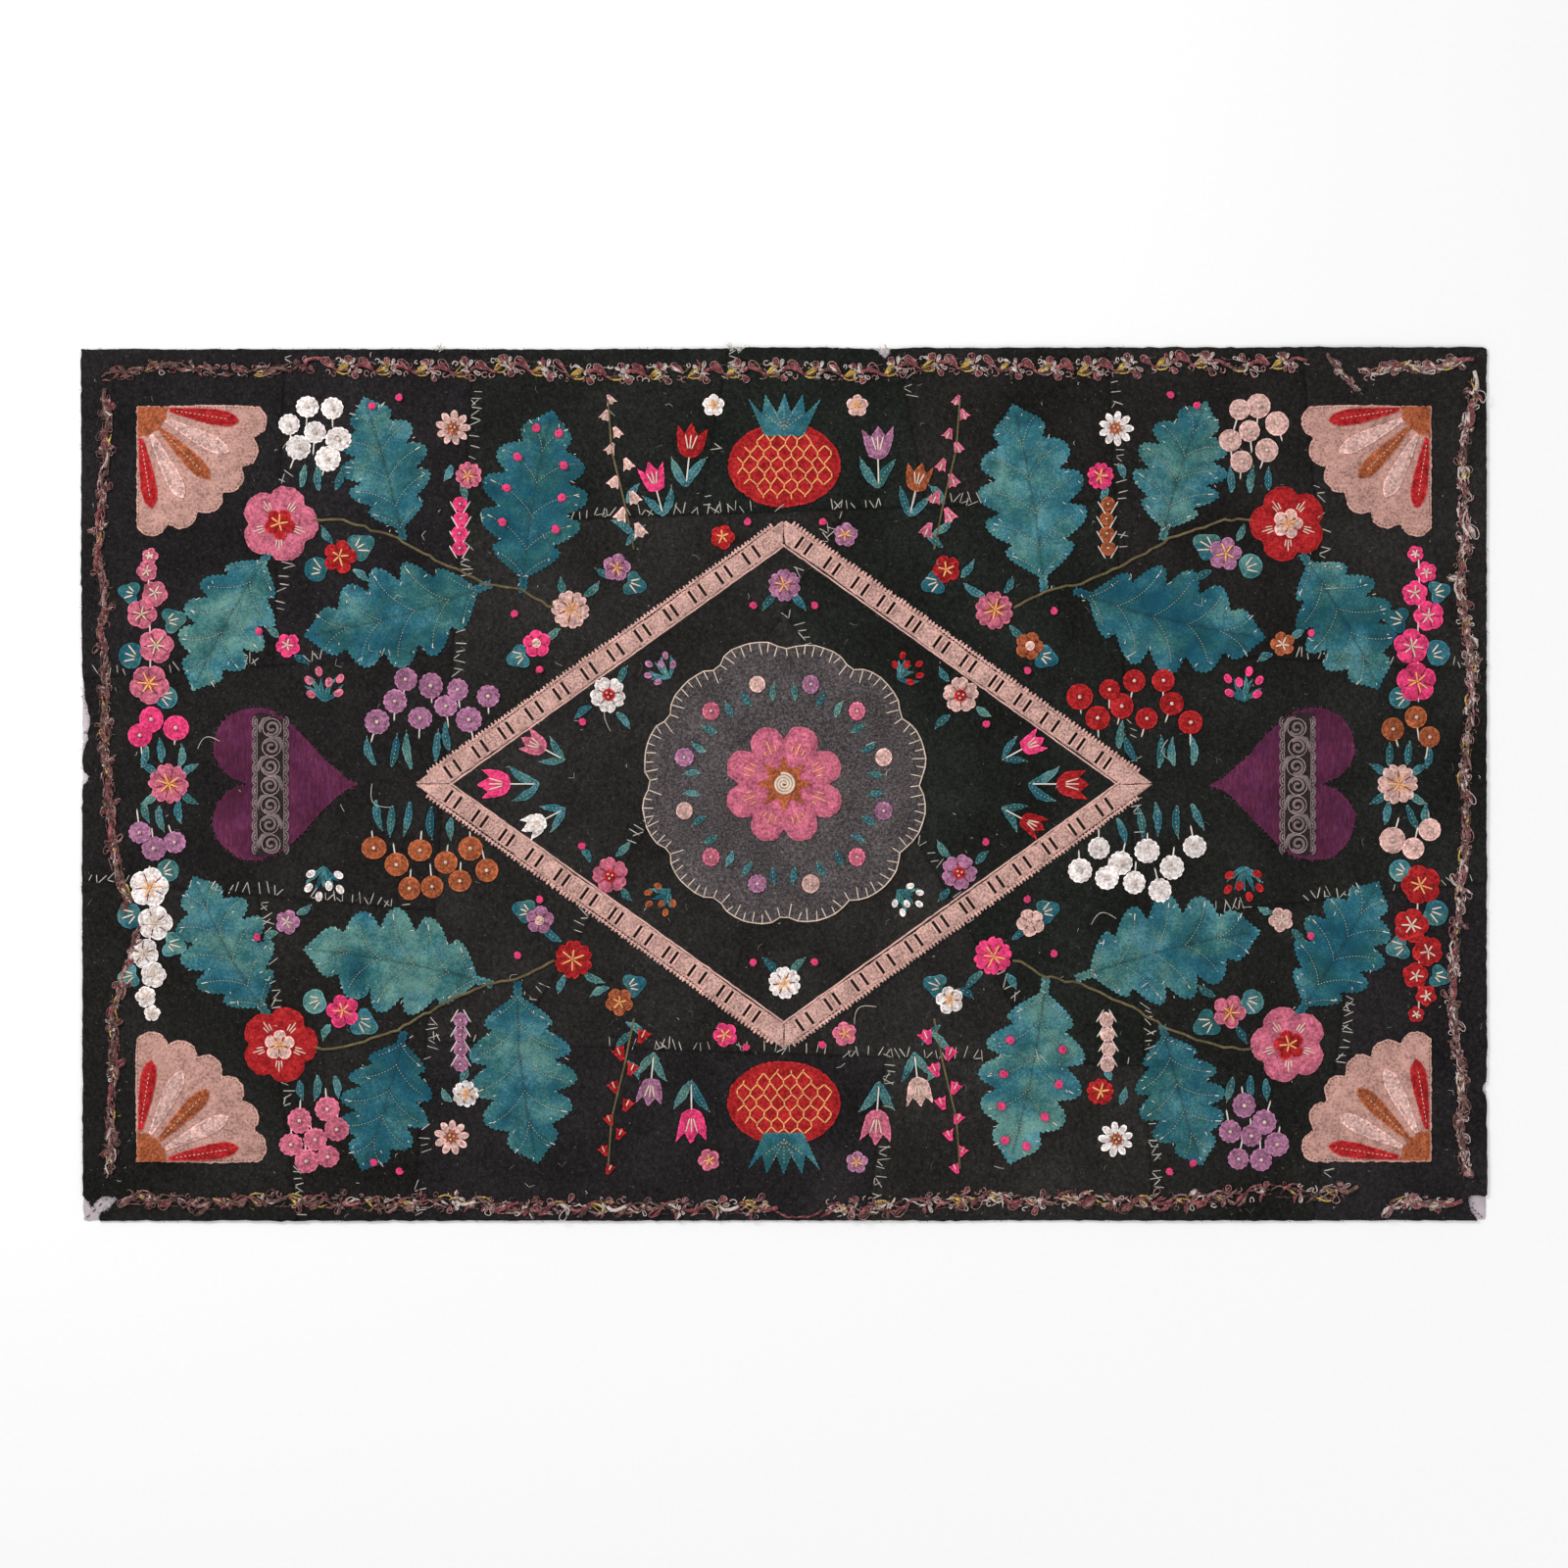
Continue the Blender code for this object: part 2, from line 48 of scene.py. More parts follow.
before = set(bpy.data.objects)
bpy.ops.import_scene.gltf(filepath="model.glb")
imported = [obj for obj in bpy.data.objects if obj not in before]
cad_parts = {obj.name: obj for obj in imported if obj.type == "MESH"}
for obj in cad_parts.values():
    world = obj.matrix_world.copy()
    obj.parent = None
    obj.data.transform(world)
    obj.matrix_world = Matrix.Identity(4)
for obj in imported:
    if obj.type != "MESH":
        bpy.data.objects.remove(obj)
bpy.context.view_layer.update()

ROOT = "root"
MM = 0.001
TAU = 2 * math.pi
QUARTERS = {"ne": (1, 1), "nw": (-1, 1), "sw": (-1, -1), "se": (1, -1)}
# Points nearer than this are one point.
WELD = 1e-6
# Where rays down to the rug start, and the side of a square in the record of what is laid.
RAY_START = 0.05
BIN = 0.05
SWELL_WAVES = 7
# Steps between the points of a felt outline and between the snips along it.
FELT_STEP = 0.0015
SNIP = 0.0022
# The rim of a cut cloth and of a small felt piece, across which the painted highlight of the cut edge
# fades, and how far in a cut edge is pressed thin.
CUT_RIM = 0.0007
FELT_RIM = 0.0009
PRESSED = 0.0005
# Half the thickness of machine thread.
MACHINE_THREAD = 0.0003

GROUND_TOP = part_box("ground_cloth")[1].z
CANVAS_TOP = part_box("backing_canvas")[1].z
HALF_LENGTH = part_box("ground_cloth")[1].x
HALF_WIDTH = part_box("ground_cloth")[1].y

# Everything laid so far, by square of the rug, for what is laid or sewn over it.
LAID = {}
# Small pieces of cloth, gathered by colour.
HEAPS = {}
# The pieces that are sewn on the ground.
TRIMMINGS = []


# ---- outlines


def seeded(name):
    """The same random numbers each run, of their own for each piece."""
    return np.random.default_rng(zlib.crc32(name.encode()))


def polar(angle, reach=1.0):
    """Points at these angles in radians and distances."""
    return np.stack([np.cos(angle) * reach, np.sin(angle) * reach], axis=-1)


def turns(count):
    """Even turns round a circle, in radians."""
    return np.linspace(0, TAU, count + 1)[:-1]


def placed(points, at, turn, signs=(1, 1)):
    """Points turned by degrees, moved, and mirrored into a quarter of the rug."""
    cos, sin = math.cos(math.radians(turn)), math.sin(math.radians(turn))
    return (np.asarray(points) @ np.array([[cos, sin], [-sin, cos]]) + at) * signs


def drawn(points, at, turn, signs):
    """Points drawn in millimetres around a spot in a quarter of the rug."""
    return placed(points, at, turn, signs) * MM


def beside(at, offset, turn):
    """The spot an offset away from another, turned by degrees."""
    return tuple(placed([offset], at, turn)[0])


def cad_outline(node):
    """The cut shape of a CAD node: its top face's edge, in order."""
    mesh = bmesh.new()
    mesh.from_mesh(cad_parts[node].data)
    bmesh.ops.remove_doubles(mesh, verts=mesh.verts, dist=WELD)
    top = {face for face in mesh.faces if face.normal.z > 0.9}
    onward = {}
    for edge in mesh.edges:
        loops = [loop for loop in edge.link_loops if loop.face in top]
        if len(loops) == 1:
            onward[loops[0].vert] = loops[0].link_loop_next.vert
    vert = first = next(iter(onward))
    points = []
    while True:
        points.append((vert.co.x, vert.co.y))
        vert = onward[vert]
        if vert == first:
            break
    mesh.free()
    return np.array(points)


def area_of(loop):
    """Area inside an outline, positive when it runs anticlockwise."""
    x, y = loop.T
    return 0.5 * float(np.sum(x * np.roll(y, -1) - np.roll(x, -1) * y))


def wound(loop):
    """The outline, running anticlockwise."""
    return loop if area_of(loop) > 0 else loop[::-1]


def spine(loop):
    """A strip's or leaf's middle line, and the two edge points on either side of each of its points."""
    count = len(loop)
    best = None
    for end in range(count):
        start = end if count % 2 else end + 1
        first = [(end - step - count % 2) % count for step in range(count // 2)]
        second = [(start + step + count % 2) % count for step in range(count // 2)]
        spread = float(np.linalg.norm(loop[first] - loop[second], axis=1).sum())
        if best is None or spread < best[0]:
            best = (spread, first, second, end)
    _, first, second, end = best
    left, right = loop[first], loop[second]
    if count % 2:
        left = np.vstack([loop[end], left])
        right = np.vstack([loop[end], right])
    return (left + right) / 2, left, right


def soften(loop, pitch, corner=0.85):
    """Rounds a closed outline between its sharp corners, with points about a pitch apart."""
    before, after = np.roll(loop, 1, 0), np.roll(loop, -1, 0)
    arrive, leave = loop - before, after - loop
    turn = np.arctan2(
        arrive[:, 0] * leave[:, 1] - arrive[:, 1] * leave[:, 0],
        np.sum(arrive * leave, axis=1),
    )
    along = after - before
    along = along / np.linalg.norm(along, axis=1, keepdims=True)
    points = []
    for here in range(len(loop)):
        there = (here + 1) % len(loop)
        span = leave[here]
        length = np.linalg.norm(span)
        start = along[here] * length if abs(turn[here]) < corner else span
        end = along[there] * length if abs(turn[there]) < corner else span
        steps = max(1, round(length / pitch))
        for step in range(steps):
            t = step / steps
            points.append(
                (2 * t**3 - 3 * t**2 + 1) * loop[here]
                + (t**3 - 2 * t**2 + t) * start
                + (3 * t**2 - 2 * t**3) * loop[there]
                + (t**3 - t**2) * end
            )
    return np.array(points)


def walk(line, pitch, closed=False, multiple=1):
    """Points evenly spaced along a line, its directions there, and its length."""
    line = np.vstack([line, line[:1]]) if closed else np.asarray(line)
    steps = np.linalg.norm(np.diff(line, axis=0), axis=1)
    run = np.concatenate([[0], np.cumsum(steps)])
    count = max(2, round(run[-1] / pitch / multiple) * multiple)
    at = np.linspace(0, run[-1], count + 1)[:-1] if closed else np.linspace(0, run[-1], count)
    points = np.stack([np.interp(at, run, line[:, axis]) for axis in range(2)], axis=1)
    if closed:
        along = np.roll(points, -1, 0) - np.roll(points, 1, 0)
    else:
        along = np.gradient(points, axis=0)
    along = along / np.maximum(1e-9, np.linalg.norm(along, axis=1, keepdims=True))
    return points, along, run[-1]


def outward(along):
    """The direction to the right of each step, which is outwards on an anticlockwise outline."""
    return np.stack([along[:, 1], -along[:, 0]], axis=1)


def round_edge(outline, pitch):
    """Places along a closed outline, each with its direction and its way out."""
    points, along, _ = walk(outline, pitch, closed=True)
    return zip(points, along, outward(along))


def pinked(loop, rng, pitch, depth=0.0011):
    """An outline cut with pinking shears, as small rounded teeth."""
    points, along, _ = walk(wound(loop), pitch / 3, closed=True, multiple=3)
    teeth = np.tile([-1.0, 0.35, 0.35], len(points) // 3) * depth
    teeth = teeth * rng.uniform(0.6, 1.2, len(points))
    cut = points + outward(along) * teeth[:, None]
    clear = nearness(cut, loop) > 0.85 * abs(teeth)
    return np.where(clear[:, None], cut, points)


def hand_cut(loop, rng, pitch, wander=0.0003):
    """An outline cut by hand with plain scissors."""
    points, along, _ = walk(wound(loop), pitch, closed=True)
    return points + outward(along) * rng.normal(0, wander, len(points))[:, None]


def nearness(points, line, closed=True):
    """How far each point is from a line."""
    start = np.asarray(line)
    end = np.roll(start, -1, 0) if closed else start[1:]
    start = start if closed else start[:-1]
    span = end - start
    length = np.maximum(1e-15, np.sum(span * span, axis=1))
    offset = points[:, None, :] - start[None]
    share = np.clip(np.sum(offset * span[None], axis=2) / length[None], 0, 1)
    gap = offset - share[:, :, None] * span[None]
    return np.sqrt(np.min(np.sum(gap * gap, axis=2), axis=1))


def nearest(points, lines):
    """How far each point is from the nearest of some open lines."""
    return np.min([nearness(points, line, closed=False) for line in lines], axis=0)


def inside(loop, x, y):
    """Whether a point lies inside an outline."""
    start, end = loop, np.roll(loop, -1, 0)
    crosses = (start[:, 1] > y) != (end[:, 1] > y)
    rise = np.where(end[:, 1] == start[:, 1], 1e-12, end[:, 1] - start[:, 1])
    reach = start[:, 0] + (y - start[:, 1]) * (end[:, 0] - start[:, 0]) / rise
    return bool(np.sum(crosses & (x < reach)) % 2)


def swell(at, size, seed):
    """Soft unevenness from about -1 to 1, in swells about a size across."""
    rng = np.random.default_rng(seed)
    x, y = at.T
    total = np.zeros(len(at))
    for _ in range(SWELL_WAVES):
        heading, phase = rng.uniform(0, TAU, 2)
        pitch = size * rng.uniform(1.2, 2.8)
        total += np.sin((x * math.cos(heading) + y * math.sin(heading)) * TAU / pitch + phase)
    return total / math.sqrt(SWELL_WAVES)


def dip(distance, width):
    """A rounded trough, 1 along its line and gone a few widths away."""
    return np.exp(-((distance / width) ** 2))


# ---- laying and joining


def bounds_of(mesh):
    """The lowest and highest place of a mesh."""
    places = np.array([vert.co[:2] for vert in mesh.verts])
    return places.min(0), places.max(0)


def data_of(name, mesh):
    """A finished bmesh as mesh data."""
    data = bpy.data.meshes.new(name)
    mesh.to_mesh(data)
    mesh.free()
    return data


def lay(name, mesh):
    """A finished surface as mesh data, noted so that later pieces rest on it."""
    tree = BVHTree.FromBMesh(mesh)
    low, high = bounds_of(mesh)
    for column in range(math.floor(low[0] / BIN), math.floor(high[0] / BIN) + 1):
        for row in range(math.floor(low[1] / BIN), math.floor(high[1] / BIN) + 1):
            LAID.setdefault((column, row), []).append((tree, low, high))
    return data_of(name, mesh)


def height(x, y):
    """The top of what is laid at a place on the rug."""
    top = CANVAS_TOP
    for tree, low, high in LAID.get((math.floor(x / BIN), math.floor(y / BIN)), ()):
        if low[0] <= x <= high[0] and low[1] <= y <= high[1]:
            hit = tree.ray_cast(Vector((x, y, RAY_START)), Vector((0, 0, -1)))[0]
            if hit is not None:
                top = max(top, hit.z)
    return top


def heights(points):
    """The tops at many places."""
    return np.array([height(x, y) for x, y in points])


def flat_sheet(outline):
    """A flat sheet of one face, with a layer for its tone, which also carries painted shade and painted
    highlights.
    """
    mesh = bmesh.new()
    mesh.verts.layers.float.new("tone")
    mesh.faces.new([mesh.verts.new((x, y, 0)) for x, y in outline])
    return mesh


def slice_sheet(mesh, point, normal, geom=None):
    """Cuts a flat sheet, or some of it, along a line, and says what lies on the cut."""
    return bmesh.ops.bisect_plane(
        mesh,
        geom=geom or mesh.verts[:] + mesh.edges[:] + mesh.faces[:],
        dist=WELD,
        plane_co=(*point, 0),
        plane_no=(*normal, 0),
    )["geom_cut"]


def divide(mesh, spacing):
    """Divides a flat sheet into squares of a spacing."""
    low, high = bounds_of(mesh)
    for axis, normal in enumerate(np.eye(2)):
        for line in range(math.floor(low[axis] / spacing) + 1, math.ceil(high[axis] / spacing)):
            slice_sheet(mesh, normal * line * spacing, normal)


def close_under(mesh, thickness):
    """Gives a sheet its cut edge and its underside."""
    rim = [edge for edge in mesh.edges if edge.is_boundary]
    made = bmesh.ops.extrude_edge_only(mesh, edges=rim)["geom"]
    for item in made:
        if isinstance(item, bmesh.types.BMVert):
            item.co.z = max(item.co.z - thickness, 0.0)
    rim = [edge for edge in mesh.edges if edge.is_boundary]
    bmesh.ops.holes_fill(mesh, edges=rim, sides=0)
    bmesh.ops.recalc_face_normals(mesh, faces=mesh.faces)


def shape_sheet(mesh, outline, thickness, relief, shade, rest, rim_painted_light):
    """Lifts a divided sheet into its relief, on what lies under it, and paints its tone, with painted
    shade in its hollows and painted light at its cut edge.
    """
    tone = mesh.verts.layers.float.get("tone")
    verts = mesh.verts[:]
    points = np.array([vert.co[:2] for vert in verts])
    edge = nearness(points, outline)
    base = heights(points) if rest is None else np.full(len(points), rest)
    lift = thickness * (1 - 0.35 * dip(edge, PRESSED))
    tones = np.full(len(points), float(shade))
    if relief is not None:
        # A relief gives its rise and a tone factor, which holds painted shade in its hollows and creases
        # as well as random tone.
        rise, dark = relief(points, edge)
        lift = lift + rise
        tones = tones * dark
    # The cut edge gets a painted highlight, its tone times the rim factor; where that factor is below 1
    # it gets painted shade.
    tones = np.where(edge < 0.0001, tones * rim_painted_light, tones)
    for vert, top, value in zip(verts, base + lift, tones):
        vert.co.z = top
        vert[tone] = value


def cut_cloth(outline, spacing, thickness, relief=None, shade=1.0, rest=None, rim=CUT_RIM, rim_painted_light=1.3):
    """One closed piece of cloth, cut to an outline and laid on what is under it."""
    outline = wound(outline)
    mesh = flat_sheet(outline)
    if rim:
        bmesh.ops.inset_region(
            mesh, faces=mesh.faces[:], thickness=rim, use_boundary=True, use_even_offset=True
        )
    divide(mesh, spacing)
    shape_sheet(mesh, outline, thickness, relief, shade, rest, rim_painted_light)
    close_under(mesh, thickness)
    return mesh


def make_object(name, data, slot):
    """Puts a mesh into the scene, riding on the rug, in the cloth of its slot unless it has its own."""
    data.name = name
    data.shade_smooth()
    if not data.materials:
        data.materials.append(finish(slot))
    piece = bpy.data.objects.new(name, data)
    bpy.context.scene.collection.objects.link(piece)
    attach(piece, ROOT)
    return piece


def put_down(name, mesh, slot, outline):
    """Lays a finished piece that stands for the CAD node of its name."""
    piece = make_object(f"{name}_cloth", lay(name, mesh), slot)
    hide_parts(name)
    if name != "ground_cloth":
        declare(piece, outline, [] if name == "backing_canvas" else ["ground_cloth_cloth"])


def declare(piece, outline, rests_on, **more):
    """Works out the smallest rectangle that holds a sheet's outline, and keeps nothing of it."""
    sides = (np.ptp(placed(outline, (0, 0), turn), axis=0) for turn in range(0, 90, 2))
    flat = tuple(float(side) for side in min(sides, key=np.prod))


def heap_up(colour, piece):
    """Lays a small piece of cloth, and gathers it with the others of its colour."""
    if colour not in HEAPS:
        HEAPS[colour] = bmesh.new()
        HEAPS[colour].verts.layers.float.new("tone")
    data = lay("cut", piece)
    HEAPS[colour].from_mesh(data)
    bpy.data.meshes.remove(data)


class Threads:
    """Many lengths of thread or cord, made as curves and turned into one mesh."""

    def __init__(self, name, yarns, slot, sides=4):
        self.name = name
        self.slot = slot
        self.curve = bpy.data.curves.new(name, "CURVE")
        self.curve.dimensions = "3D"
        self.curve.bevel_depth = 1.0
        self.curve.bevel_resolution = (sides - 4) // 2
        self.curve.use_fill_caps = True
        for yarn in yarns:
            self.curve.materials.append(finish(yarn))

    def run(self, line, rise, radius, colour=0):
        """A length of thread over a line on the rug, at its heights."""
        count = len(line)
        spline = self.curve.splines.new("POLY")
        spline.points.add(count - 1)
        places = np.column_stack([line, rise, np.ones(count)])
        spline.points.foreach_set("co", places.ravel())
        spline.points.foreach_set("radius", np.array(np.broadcast_to(radius, count), float))
        spline.material_index = colour

    def stitch(self, start, end, radius, colour=0, rest=None):
        """One straight stitch, its ends pulled into the cloth."""
        line = start + np.array([0.0, 0.16, 0.84, 1.0])[:, None] * (end - start)
        top = heights(line) if rest is None else rest
        lift = np.array([-0.9, 0.75, 0.75, -0.9]) * radius
        self.run(line, top + lift, np.array([0.7, 1.0, 1.0, 0.7]) * radius, colour)

    def follow(self, line, radius, colour=0, lift=0.6):
        """A thread lying along a line on the cloth."""
        self.run(line, heights(line) + radius * lift, radius, colour)

    def dashes(self, line, radius, stitch, gap, rng, colour=0):
        """A line of machine stitches, each at one height and going into the cloth at its ends."""
        points, along, _ = walk(line, stitch + gap)
        for place, way in zip(points, along):
            reach = way * stitch / 2 * rng.uniform(0.75, 1.1)
            start, end = place - reach, place + reach
            middle = (start + end) / 2
            lift = np.array([-0.5, 0.7, -0.5]) * radius
            thick = np.array([0.7, 1.0, 0.7]) * radius
            self.run([start, middle, end], height(*middle) + lift, thick, colour)

    def finish(self, node=None):
        """The threads as one mesh piece, standing for a CAD node where one is named."""
        holder = bpy.data.objects.new(self.name, self.curve)
        bpy.context.scene.collection.objects.link(holder)
        bpy.context.view_layer.update()
        evaluated = holder.evaluated_get(bpy.context.evaluated_depsgraph_get())
        data = bpy.data.meshes.new_from_object(evaluated)
        bpy.data.objects.remove(holder)
        bpy.data.curves.remove(self.curve)
        mesh = bmesh.new()
        mesh.from_mesh(data)
        bmesh.ops.remove_doubles(mesh, verts=mesh.verts, dist=WELD)
        bmesh.ops.recalc_face_normals(mesh, faces=mesh.faces)
        mesh.to_mesh(data)
        mesh.free()
        piece = make_object(self.name, data, self.slot)
        if node:
            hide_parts(node)
        TRIMMINGS.append(piece)


# ---- finishes


def scaled(colour, factor):
    """A colour made lighter or darker."""
    return tuple(min(1.0, channel * factor) for channel in colour)


def blended(first, second, share):
    """A colour between two others."""
    return tuple(a + (b - a) * share for a, b in zip(first, second))


class Finish:
    """The look of one cloth or thread, built from noise that runs through the rug."""

    def __init__(self, name, roughness=0.92, sheen=0.08, specular=0.05):
        self.material = bpy.data.materials.new(f"{name}_finish")
        self.material.use_nodes = True
        self.tree = self.material.node_tree
        self.shader = self.tree.nodes["Principled BSDF"]
        nap = {"Sheen Weight": sheen, "Sheen Roughness": 0.5}
        for socket, value in {"Roughness": roughness, "Specular IOR Level": specular, **nap}.items():
            self.shader.inputs[socket].default_value = value
        self.place = self.node("TexCoord").outputs["Object"]

    def node(self, kind, sockets=None, **settings):
        """A shader node, with its sockets filled or linked."""
        made = self.tree.nodes.new("ShaderNode" + kind)
        for setting, value in settings.items():
            setattr(made, setting, value)
        for socket, value in (sockets or {}).items():
            if isinstance(value, bpy.types.NodeSocket):
                self.tree.links.new(value, made.inputs[socket])
            else:
                made.inputs[socket].default_value = value
        return made

    def noise(self, size, detail, rough=0.6, shift=0.0, stretch=(1, 1, 1), turn=0.0):
        """Soft noise with features of about a size in metres."""
        place = self.node(
            "Mapping",
            {
                "Vector": self.place,
                "Location": (shift, shift * 0.7, shift * 0.3),
                "Rotation": (0, 0, math.radians(turn)),
                "Scale": stretch,
            },
        ).outputs["Vector"]
        sockets = {"Vector": place, "Scale": 1 / size, "Detail": detail, "Roughness": rough}
        return self.node("TexNoise", sockets).outputs[0]

    def rows(self, pitch, turn, wobble):
        """Even ridges, such as the threads of a weave, a pitch apart."""
        place = self.node(
            "Mapping", {"Vector": self.place, "Rotation": (0, 0, math.radians(turn))}
        ).outputs["Vector"]
        scale = TAU / 20 / pitch
        sockets = {"Vector": place, "Scale": scale, "Distortion": wobble, "Detail": 1.0}
        return self.node("TexWave", sockets, wave_type="BANDS").outputs[1]

    def math(self, operation, first, second):
        """Two numbers put together by an operation."""
        return self.node("Math", {0: first, 1: second}, operation=operation).outputs[0]

    def average(self, first, second, share):
        """A share of the second number in the first."""
        sockets = {0: share, 2: first, 3: second}
        return self.node("Mix", sockets, data_type="FLOAT").outputs[0]

    def times(self, first, second):
        """One colour in the shade of another."""
        return self.node("VectorMath", {0: first, 1: second}, operation="MULTIPLY").outputs[0]

    def mix(self, factor, first, second):
        """One colour turning into another."""
        sockets = {0: factor, 6: first, 7: second}
        return self.node("Mix", sockets, data_type="RGBA").outputs[2]

    def ramp(self, factor, *stops):
        """A number turned into a colour, between stops of (place, colour)."""
        node = self.node("ValToRGB", {"Fac": factor})
        elements = node.color_ramp.elements
        while len(elements) < len(stops):
            elements.new(0.5)
        for element, (place, colour) in zip(elements, stops):
            element.position = place
            element.color = (*colour, 1.0)
        return node.outputs["Color"]

    def shades(self, factor, colour, *stops):
        """A number turned into shades of one colour, between stops of (place, strength)."""
        return self.ramp(factor, *((place, scaled(colour, strength)) for place, strength in stops))

    def attribute(self, name):
        """A number that the piece itself holds."""
        return self.node("Attribute", attribute_name=name).outputs["Fac"]

    def toned(self, colour):
        """The colour, lighter and darker as the piece's tone layer says, painted shade and painted
        highlights included.
        """
        sockets = {0: colour, "Scale": self.attribute("tone")}
        return self.node("VectorMath", sockets, operation="SCALE").outputs[0]

    def done(self, colour, relief, depth):
        """The finished material, with its colour and its fine relief to a depth."""
        self.tree.links.new(colour, self.shader.inputs["Base Color"])
        bump = self.node("Bump", {"Height": relief, "Distance": depth, "Strength": 1.0})
        self.tree.links.new(bump.outputs["Normal"], self.shader.inputs["Normal"])
        return self.material


def felt(name, colour, light, shift):
    """Pressed wool: cloudy patches, a fine grain of fibres and a soft nap."""
    cloth = Finish(name)
    cloud = cloth.noise(0.009, 3.0, shift=shift)
    fibre = cloth.noise(0.0023, 4.0, 0.8)
    pale = tuple(min(1.0, channel * light + 0.015) for channel in colour)
    shade = cloth.ramp(
        cloth.average(cloud, fibre, 0.72), (0.40, scaled(colour, 0.5)), (0.5, colour), (0.61, pale)
    )
    nap = cloth.average(cloth.noise(0.0035, 3.0), fibre, 0.6)
    return cloth.done(cloth.toned(shade), nap, 0.0008)


def mottled_wool(name, deep, middle, faded, balance, green, shift):
    """Hand-dyed wool: broad deep, greenish and faded patches under a fine nap."""
    cloth = Finish(name)
    patch = cloth.noise(0.045, 3.0, 0.55, shift=shift)
    small = cloth.noise(0.012, 2.0, shift=shift + 1)
    fibre = cloth.noise(0.0020, 4.0, 0.8)
    broad = cloth.average(patch, small, 0.32)
    shade = cloth.ramp(
        cloth.math("ADD", cloth.average(broad, fibre, 0.42), balance),
        (0.40, deep),
        (0.50, middle),
        (0.585, faded),
        (0.66, scaled(faded, 1.35)),
    )
    dye = cloth.ramp(
        cloth.math("ADD", cloth.noise(0.03, 2.0, shift=shift + 4), green),
        (0.42, (0.82, 0.99, 1.06)),
        (0.60, (1.10, 1.04, 0.88)),
    )
    nap = cloth.average(cloth.noise(0.004, 3.0), fibre, 0.6)
    return cloth.done(cloth.toned(cloth.times(shade, dye)), nap, 0.0009)


def black_wool(name, colour):
    """Felted black wool in patches: greenish, plain or brownish, flecked with lint."""
    cloth = Finish(name, sheen=0.02, specular=0.02)
    patch = cloth.ramp(
        cloth.attribute("patch"),
        (0.0, blended(colour, (0.0105, 0.0140, 0.0115), 0.6)),
        (0.35, colour),
        (0.6, blended(colour, (0.0140, 0.0120, 0.0155), 0.6)),
        (1.0, blended(colour, (0.0230, 0.0215, 0.0190), 0.7)),
    )
    cloud = cloth.noise(0.09, 3.0)
    fibre = cloth.noise(0.0023, 4.0, 0.8)
    matted = cloth.noise(0.0038, 2.0, 0.8, stretch=(1, 0.7, 1), turn=35)
    grain = cloth.average(cloth.average(cloud, fibre, 0.66), matted, 0.24)
    depth = cloth.ramp(grain, (0.38, (0.40,) * 3), (0.5, (1.0,) * 3), (0.62, (2.05,) * 3))
    fleck = cloth.ramp(cloth.noise(0.0019, 1.0, shift=3), (0.745, (0,) * 3), (0.785, (1,) * 3))
    wool = cloth.mix(fleck, cloth.toned(cloth.times(patch, depth)), (0.10, 0.095, 0.09, 1))
    return cloth.done(wool, cloth.average(cloth.noise(0.004, 3.0), fibre, 0.6), 0.0008)


def heathered_felt(name, colour):
    """Charcoal felt of mixed pale and dark fibres."""
    cloth = Finish(name)
    cell = cloth.noise(0.0020, 3.0, 0.9)
    mixed = cloth.average(cloth.noise(0.03, 2.0), cell, 0.85)
    shade = cloth.shades(mixed, colour, (0.38, 0.34), (0.49, 1.0), (0.58, 1.9), (0.66, 3.4))
    tint = cloth.ramp(
        cloth.noise(0.0024, 1.0, shift=5), (0.36, (0.94, 1.00, 1.05)), (0.64, (1.08, 0.97, 0.98))
    )
    return cloth.done(cloth.toned(cloth.times(shade, tint)), cell, 0.0008)


def twill(name, colour):
    """Fine twill with lengthwise slubs and a worn, uneven dye."""
    cloth = Finish(name, roughness=0.8, sheen=0.10)
    cloud = cloth.noise(0.022, 4.0, 0.65)
    slub = cloth.noise(0.0020, 3.0, 0.8, stretch=(1, 0.22, 1), turn=3)
    shade = cloth.ramp(
        cloth.average(cloud, slub, 0.62),
        (0.36, scaled(colour, 0.58)),
        (0.5, colour),
        (0.64, blended(scaled(colour, 1.5), (0.17, 0.045, 0.12), 0.3)),
    )
    warm = cloth.ramp(
        cloth.noise(0.010, 3.0, shift=8), (0.40, (1.05, 1.0, 0.90)), (0.60, (0.98, 1.0, 1.06))
    )
    ridge = cloth.average(cloth.rows(0.0011, 24, 0.6), slub, 0.55)
    return cloth.done(cloth.toned(cloth.times(shade, warm)), ridge, 0.0005)


def canvas_weave(name, colour):
    """A plain weave, with its threads going over and under."""
    pitch = 0.0008
    cloth = Finish(name, roughness=0.85)
    knit = cloth.average(cloth.rows(pitch, 0, 0.8), cloth.rows(pitch, 90, 0.8), 0.5)
    soil = cloth.noise(0.012, 4.0, 0.7)
    worn = cloth.average(soil, knit, 0.35)
    shade = cloth.shades(worn, colour, (0.32, 0.75), (0.5, 1.0), (0.68, 1.15))
    return cloth.done(cloth.toned(shade), knit, pitch * 0.35)


